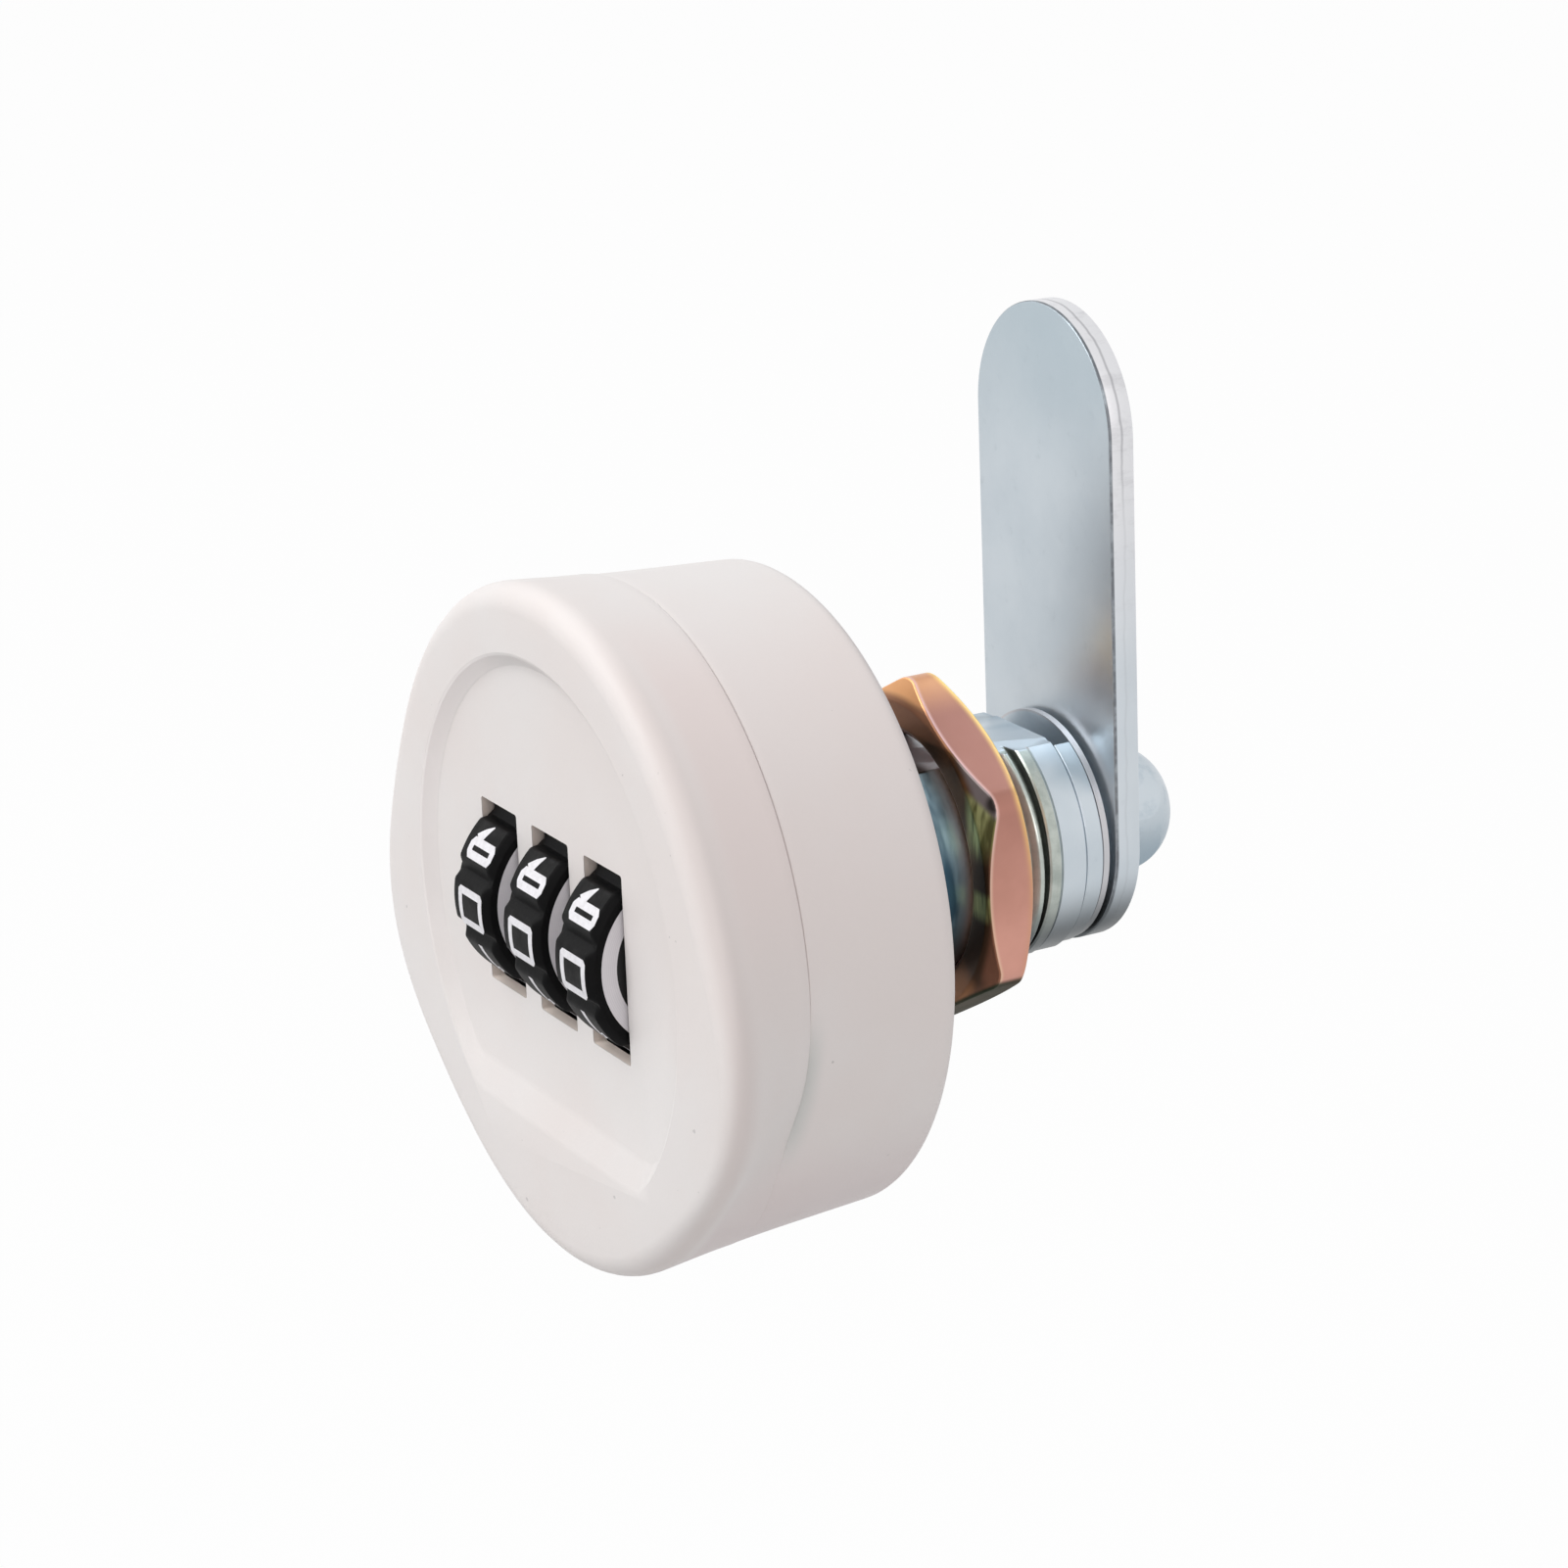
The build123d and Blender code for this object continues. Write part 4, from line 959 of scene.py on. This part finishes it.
class DIALLOCK_OT_numerals(bpy.types.Operator):
    """Prints the numerals on the pads of the dials, set upside down as on the real lock"""

    bl_idname = "diallock.numerals"
    bl_label = "Numerals"

    def execute(self, context):
        stroke = context.scene.dial_lock_sizes.numeral_stroke / MM
        for n in DIALS:
            mesh = bmesh.new()
            for digit, lines in STROKES.items():
                for line in lines:
                    points = [
                        (x * NUMERAL_HALF_WIDTH, z * NUMERAL_HALF_HEIGHT, *(width or [1.0]))
                        for x, z, *width in line
                    ]
                    self.lay_stroke(mesh, points, stroke, 36.0 * int(digit), (n - 2) * DIAL_PITCH)
            new_piece(f"dial_{n}_numerals", mesh, "dial_black", f"dial_{n}", (), 40.0, finish="numeral")
        return {"FINISHED"}

    def lay_stroke(self, mesh, line, stroke, angle, centre):
        """Extrudes one flat stroke along its centre line and lays it on its pad."""
        closed = line[0] == line[-1]
        if closed:
            line = line[:-1]
        points = [Vector(p[:2]) for p in line]
        count = len(points)
        sides = []
        for k, p in enumerate(points):
            before = points[k - 1] if closed or k else None
            after = points[(k + 1) % count] if closed or k < count - 1 else None
            one = (p - before).normalized() if before is not None else (after - p).normalized()
            two = (after - p).normalized() if after is not None else one
            mitre = (Vector((-one.y, one.x)) + Vector((-two.y, two.x))).normalized()
            mitre *= line[k][2] * stroke / 2 / max(mitre.dot(Vector((-two.y, two.x))), 0.5)
            sides.append((p + mitre, p - mitre))
        turned = Matrix.Rotation(math.radians(angle), 3, "X")

        def lay(p):
            lift = math.sqrt(PAD_RADIUS ** 2 - p.y ** 2) + 0.012
            return Vector((centre + NUMERAL_ASIDE, DIAL_Y, DIAL_Z)) + turned @ Vector((-p.x, -lift, -p.y))

        order = list(range(count)) + ([0] if closed else [])
        rails = [sides[order[0]]]
        for a, b in zip(order, order[1:]):
            for k in range(1, 6):
                rails.append(tuple(sides[a][s].lerp(sides[b][s], k / 5) for s in (0, 1)))
        left, right = [mesh.verts.new(lay(p)) for p in rails[0]]
        mesh.edges.new((left, right))
        faces = []
        for rail in rails[1:]:
            grown = bmesh.ops.extrude_edge_only(mesh, edges=[mesh.edges.get((left, right))])["geom"]
            fresh = [g for g in grown if isinstance(g, bmesh.types.BMVert) and g not in (left, right)]
            left = min(fresh, key=lambda v: (v.co - left.co).length)
            right = next(v for v in fresh if v is not left)
            left.co, right.co = lay(rail[0]), lay(rail[1])
            faces += [g for g in grown if isinstance(g, bmesh.types.BMFace)]
        bmesh.ops.remove_doubles(mesh, verts=list(dict.fromkeys(v for f in faces for v in f.verts)), dist=1e-5)
        faces = [f for f in faces if f.is_valid]
        bmesh.ops.recalc_face_normals(mesh, faces=faces)
        bmesh.ops.solidify(mesh, geom=faces, thickness=NUMERAL_THICKNESS)


class DIALLOCK_OT_barrel(bpy.types.Operator):
    """Makes the barrel: flange, helical thread, flats, plain land and rotation stop"""

    bl_idname = "diallock.barrel"
    bl_label = "Threaded barrel"

    def execute(self, context):
        sizes = context.scene.dial_lock_sizes
        pitch = sizes.thread_pitch / MM
        depth = sizes.thread_depth / MM
        minor = THREAD_CREST - depth * 0.8
        self.cut_thread(pitch, depth)
        core = spun_profile(
            [(5.05, BARREL_FRONT_Y), (12.8, BARREL_FRONT_Y), (12.8, -1.6), (9.46, -1.6), (9.46, 11.3),
             (minor, 11.6), (minor, THREAD_END_Y), (8.65, 16.24), (8.65, 16.58), (9.3, 16.7), (9.42, 16.84),
             (9.42, 17.62), (9.16, 17.72), (9.16, 17.8), (9.3, 17.9), (9.3, 19.86), (9.22, 19.94),
             (8.7, 19.96), (8.7, BARREL_END_Y), (5.05, BARREL_END_Y), (5.05, BARREL_FRONT_Y)],
            144,
        )
        piece = new_piece("barrel_body", core, "cast_zinc", "housing", ("barrel",))
        cut_flats(piece, 30.0, 13.4)
        cut_with(piece, block((2.2, 1.4, 3.2), (10.6, -2.6, DIAL_Z)))
        smooth(piece, 30)
        self.turn_stop()
        return {"FINISHED"}

    def cut_thread(self, pitch, depth):
        """Winds the thread's profile along the barrel, and trims its ends and flats."""
        mesh = bmesh.new()
        start, end = 7.6, 17.8
        turns = int((end - start) / pitch)
        crest, root = THREAD_CREST, THREAD_CREST - depth
        shape = (
            (root, 0.0), (root + depth * 0.30, 0.14), (crest - depth * 0.12, 0.38), (crest, 0.46),
            (crest, 0.56), (crest - depth * 0.12, 0.64), (root + depth * 0.30, 0.88), (root, 1.0),
        )
        verts = [mesh.verts.new((0, start + h * pitch, r)) for r, h in shape]
        edges = [mesh.edges.new((a, b)) for a, b in zip(verts, verts[1:])]
        steps = 72
        bmesh.ops.spin(
            mesh, geom=verts + edges, cent=(0, 0, 0), axis=(0, 1, 0), dvec=(0, pitch / steps, 0),
            angle=2 * math.pi * turns, steps=steps * turns, use_merge=False, use_duplicate=False,
        )
        bmesh.ops.remove_doubles(mesh, verts=mesh.verts, dist=1e-3)
        trim(mesh, (0, THREAD_FRONT_Y, 0), (0, -1, 0))
        trim(mesh, (0, THREAD_END_Y, 0), (0, 1, 0))
        for side in (1, -1):
            trim(mesh, (0, 0, FLAT_Z * side), (0, 0, side))
        new_piece("barrel_thread", mesh, "cast_zinc", "housing", (), 50.0)

    def turn_stop(self):
        """Turns the stop ring at the end of the barrel, open where the knob's tab runs."""
        mesh = bmesh.new()
        shape = (
            (6.3, BARREL_END_Y), (8.95, BARREL_END_Y), (9.0, BARREL_END_Y + 0.08),
            (9.0, STOP_END_Y - 0.1), (8.92, STOP_END_Y), (6.3, STOP_END_Y),
        )
        verts = [mesh.verts.new((0, y, r)) for r, y in shape]
        edges = [mesh.edges.new((a, b)) for a, b in zip(verts, verts[1:] + verts[:1])]
        turned = math.radians(STOP_FROM)
        bmesh.ops.rotate(mesh, cent=(0, 0, 0), matrix=Matrix.Rotation(turned, 3, "Y"), verts=verts)
        bmesh.ops.spin(
            mesh, geom=verts + edges, cent=(0, 0, 0), axis=(0, 1, 0), dvec=(0, 0, 0),
            angle=math.radians(STOP_SPAN), steps=80, use_merge=False, use_duplicate=False,
        )
        bmesh.ops.holes_fill(mesh, edges=[e for e in mesh.edges if e.is_boundary], sides=8)
        piece = new_piece("barrel_stop", mesh, "cast_zinc", "housing")
        cut_flats(piece, 6.0, 21.0)
        smooth(piece, 30)


class DIALLOCK_OT_nut(bpy.types.Operator):
    """Makes the hexagon nut with chamfered and softened corners"""

    bl_idname = "diallock.nut"
    bl_label = "Mounting nut"

    def execute(self, context):
        soft = context.scene.dial_lock_sizes.nut_round / MM
        mesh = prism(6, 2 * NUT_HALF_FLATS / math.sqrt(3), NUT_FRONT_Y + 0.01, NUT_REAR_Y - 0.01)
        round_edges(mesh, edges_along_y(mesh), 1.15, 6)
        piece = new_piece("nut_body", mesh, "nut_plating", "housing", ("mounting_nut",))
        lens = spun_profile(
            [(0, NUT_FRONT_Y), (NUT_CHAMFER_RADIUS, NUT_FRONT_Y), (14.2, NUT_FRONT_Y + 1.32),
             (14.2, NUT_REAR_Y - 1.32), (NUT_CHAMFER_RADIUS, NUT_REAR_Y), (0, NUT_REAR_Y)],
            144,
        )
        cut_with(piece, lens, "INTERSECT")
        bore = spun_profile(
            [(0, 9.0), (9.95, 9.0), (9.95, NUT_FRONT_Y + 0.01), (9.25, 10.3), (9.25, 13.0),
             (9.95, NUT_REAR_Y - 0.01), (9.95, 14.2), (0, 14.2)],
            96,
        )
        cut_with(piece, bore)
        merged = bmesh.new()
        merged.from_mesh(piece.data)
        bmesh.ops.remove_doubles(merged, verts=merged.verts, dist=2e-6)
        bmesh.ops.dissolve_limit(merged, angle_limit=math.radians(1.0), verts=merged.verts, edges=merged.edges)
        merged.to_mesh(piece.data)
        merged.free()
        modifier = piece.modifiers.new("soft edges", "BEVEL")
        modifier.width = soft * MM
        modifier.segments = 3
        modifier.limit_method = "ANGLE"
        modifier.angle_limit = math.radians(18)
        modifier.harden_normals = True
        piece.data.shade_smooth()
        return {"FINISHED"}


class DIALLOCK_OT_cam(bpy.types.Operator):
    """Makes the flat cam with round ends and a softened stamped edge"""

    bl_idname = "diallock.cam"
    bl_label = "Cam"

    def execute(self, context):
        soft = context.scene.dial_lock_sizes.cam_round / MM
        middle = (CAM_FRONT_Y + CAM_REAR_Y) / 2
        mesh = prism(98, CAM_HALF_WIDTH, CAM_FRONT_Y, CAM_REAR_Y)
        for v in mesh.verts:
            if v.co.z > 0.01:
                v.co.z += CAM_REACH
        rims = [e for e in mesh.edges if abs(e.verts[0].co.y - e.verts[1].co.y) < 0.01]
        front = [e for e in rims if e.verts[0].co.y < middle]
        back = [e for e in rims if e.verts[0].co.y > middle]
        round_edges(mesh, front, soft * 0.6, 3)
        round_edges(mesh, [e for e in back if e.is_valid], soft, 3)
        piece = new_piece("cam_plate", mesh, "cam_steel", "knob", ("cam",), 25.0)
        cut_with(piece, block((7.1, 6.0, 7.1), (0, 23.8, 0)))
        smooth(piece, 25)
        return {"FINISHED"}


class DIALLOCK_OT_stage(bpy.types.Operator):
    """Sets the pale floor, the soft studio light and the camera"""

    bl_idname = "diallock.stage"
    bl_label = "Floor, light and camera"

    def execute(self, context):
        scene = context.scene
        self.lay_floor(tuple(scene.dial_lock_colours.floor))
        self.light_world(scene)
        for name, place, size, power, tint in LAMPS:
            lamp = bpy.data.lights.new(name, "AREA")
            lamp.shape = "SQUARE"
            lamp.size = size
            lamp.energy = power
            lamp.color = tint
            holder = put(name, lamp)
            holder.location = place
            holder.rotation_mode = "QUATERNION"
            holder.rotation_quaternion = (-Vector(place)).to_track_quat("-Z", "Y")

        camera = bpy.data.cameras.new("studio_camera")
        camera.sensor_width = SENSOR_MM
        camera.sensor_fit = "HORIZONTAL"
        camera.lens = FOCAL_PIXELS / PHOTO_PIXELS * SENSOR_MM
        camera.clip_start = 0.01
        camera.clip_end = 50.0
        holder = put("studio_camera", camera)
        right, back = Vector(CAMERA_RIGHT), Vector(CAMERA_BACK)
        turn = Matrix((right, back.cross(right), back)).transposed().to_4x4()
        holder.matrix_world = Matrix.Translation(CAMERA_PLACE) @ turn
        scene.camera = holder
        scene.view_settings.view_transform = "Standard"
        return {"FINISHED"}

    def lay_floor(self, colour):
        """A floor that the camera and reflections see almost white."""
        mesh = bmesh.new()
        bmesh.ops.create_grid(mesh, x_segments=1, y_segments=1, size=6.0 / MM)
        bmesh.ops.translate(mesh, vec=(0, 0, -0.12 / MM), verts=mesh.verts)
        floor = object_of("studio_floor", mesh)
        floor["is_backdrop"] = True
        f = Finish("studio_floor")
        cloud = f.noise(3.0, 2.0, 0.5)
        f.surface(base_color=f.blend(cloud, colour, toned(colour, 0.98)), roughness=0.85)
        rays = f.tree.nodes.new("ShaderNodeLightPath").outputs
        kinds = ("Camera", "Glossy", "Transmission")
        seen, glossy, through = [Value(f, rays[f"Is {kind} Ray"]) for kind in kinds]
        factor = (seen + glossy + through).clamped() * 0.97
        glow = f.node("ShaderNodeEmission", None, {"Color": (1, 1, 1), "Strength": 1.0})
        mixed = f.node("ShaderNodeMixShader", None, {0: factor, 1: Value(f, f.shader.outputs[0]), 2: glow})
        f.feed(f.tree.nodes["Material Output"].inputs["Surface"], mixed)
        floor.data.materials.append(f.material)

    def light_world(self, scene):
        """A white world for the camera and reflections that lights the lock more softly."""
        world = bpy.data.worlds.new("studio_world")
        scene.world = world
        world.use_nodes = True
        nodes, links = world.node_tree.nodes, world.node_tree.links
        plain, shown = nodes["Background"], nodes.new("ShaderNodeBackground")
        for background, tint, strength in ((plain, (0.97, 0.98, 1.0, 1.0), 0.51), (shown, (1, 1, 1, 1), 1.0)):
            background.inputs["Color"].default_value = tint
            background.inputs["Strength"].default_value = strength
        rays = nodes.new("ShaderNodeLightPath").outputs
        mixer = nodes.new("ShaderNodeMixShader")
        either = nodes.new("ShaderNodeMath")
        either.operation = "MAXIMUM"
        links.new(rays["Is Camera Ray"], either.inputs[0])
        links.new(rays["Is Glossy Ray"], either.inputs[1])
        for n, source in enumerate((either, plain, shown)):
            links.new(source.outputs[0], mixer.inputs[n])
        links.new(mixer.outputs[0], nodes["World Output"].inputs["Surface"])


class DIALLOCK_PT_panel(bpy.types.Panel):
    """Lists the sizes, colours and pieces of the lock"""

    bl_idname = "DIALLOCK_PT_panel"
    bl_label = "Dial lock"
    bl_space_type = "VIEW_3D"
    bl_region_type = "UI"
    bl_category = "Dial lock"

    def draw(self, context):
        for group in (context.scene.dial_lock_sizes, context.scene.dial_lock_colours):
            box = self.layout.box()
            for key in group.bl_rna.properties.keys():
                if key not in {"rna_type", "name"}:
                    box.prop(group, key)
        for operator in OPERATORS:
            self.layout.operator(operator.bl_idname)


OPERATORS = (
    DIALLOCK_OT_finishes,
    DIALLOCK_OT_cover,
    DIALLOCK_OT_ring,
    DIALLOCK_OT_dials,
    DIALLOCK_OT_numerals,
    DIALLOCK_OT_barrel,
    DIALLOCK_OT_nut,
    DIALLOCK_OT_cam,
    DIALLOCK_OT_stage,
)
CLASSES = (LockSizes, LockColours, *OPERATORS, DIALLOCK_PT_panel)


def register():
    for made in CLASSES:
        bpy.utils.register_class(made)
    bpy.types.Scene.dial_lock_sizes = bpy.props.PointerProperty(type=LockSizes)
    bpy.types.Scene.dial_lock_colours = bpy.props.PointerProperty(type=LockColours)


def unregister():
    del bpy.types.Scene.dial_lock_colours
    del bpy.types.Scene.dial_lock_sizes
    for made in reversed(CLASSES):
        bpy.utils.unregister_class(made)


def main():
    register()
    for operator in OPERATORS:
        group, action = operator.bl_idname.split(".")
        if getattr(getattr(bpy.ops, group), action)() != {"FINISHED"}:
            raise RuntimeError(f"{operator.bl_label} did not finish")
    boxes = {"cad": CAD_BOX, "visual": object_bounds()}
    {key: [list(corner) for corner in value] for key, value in boxes.items()}


if __name__ == "__main__":
    main()
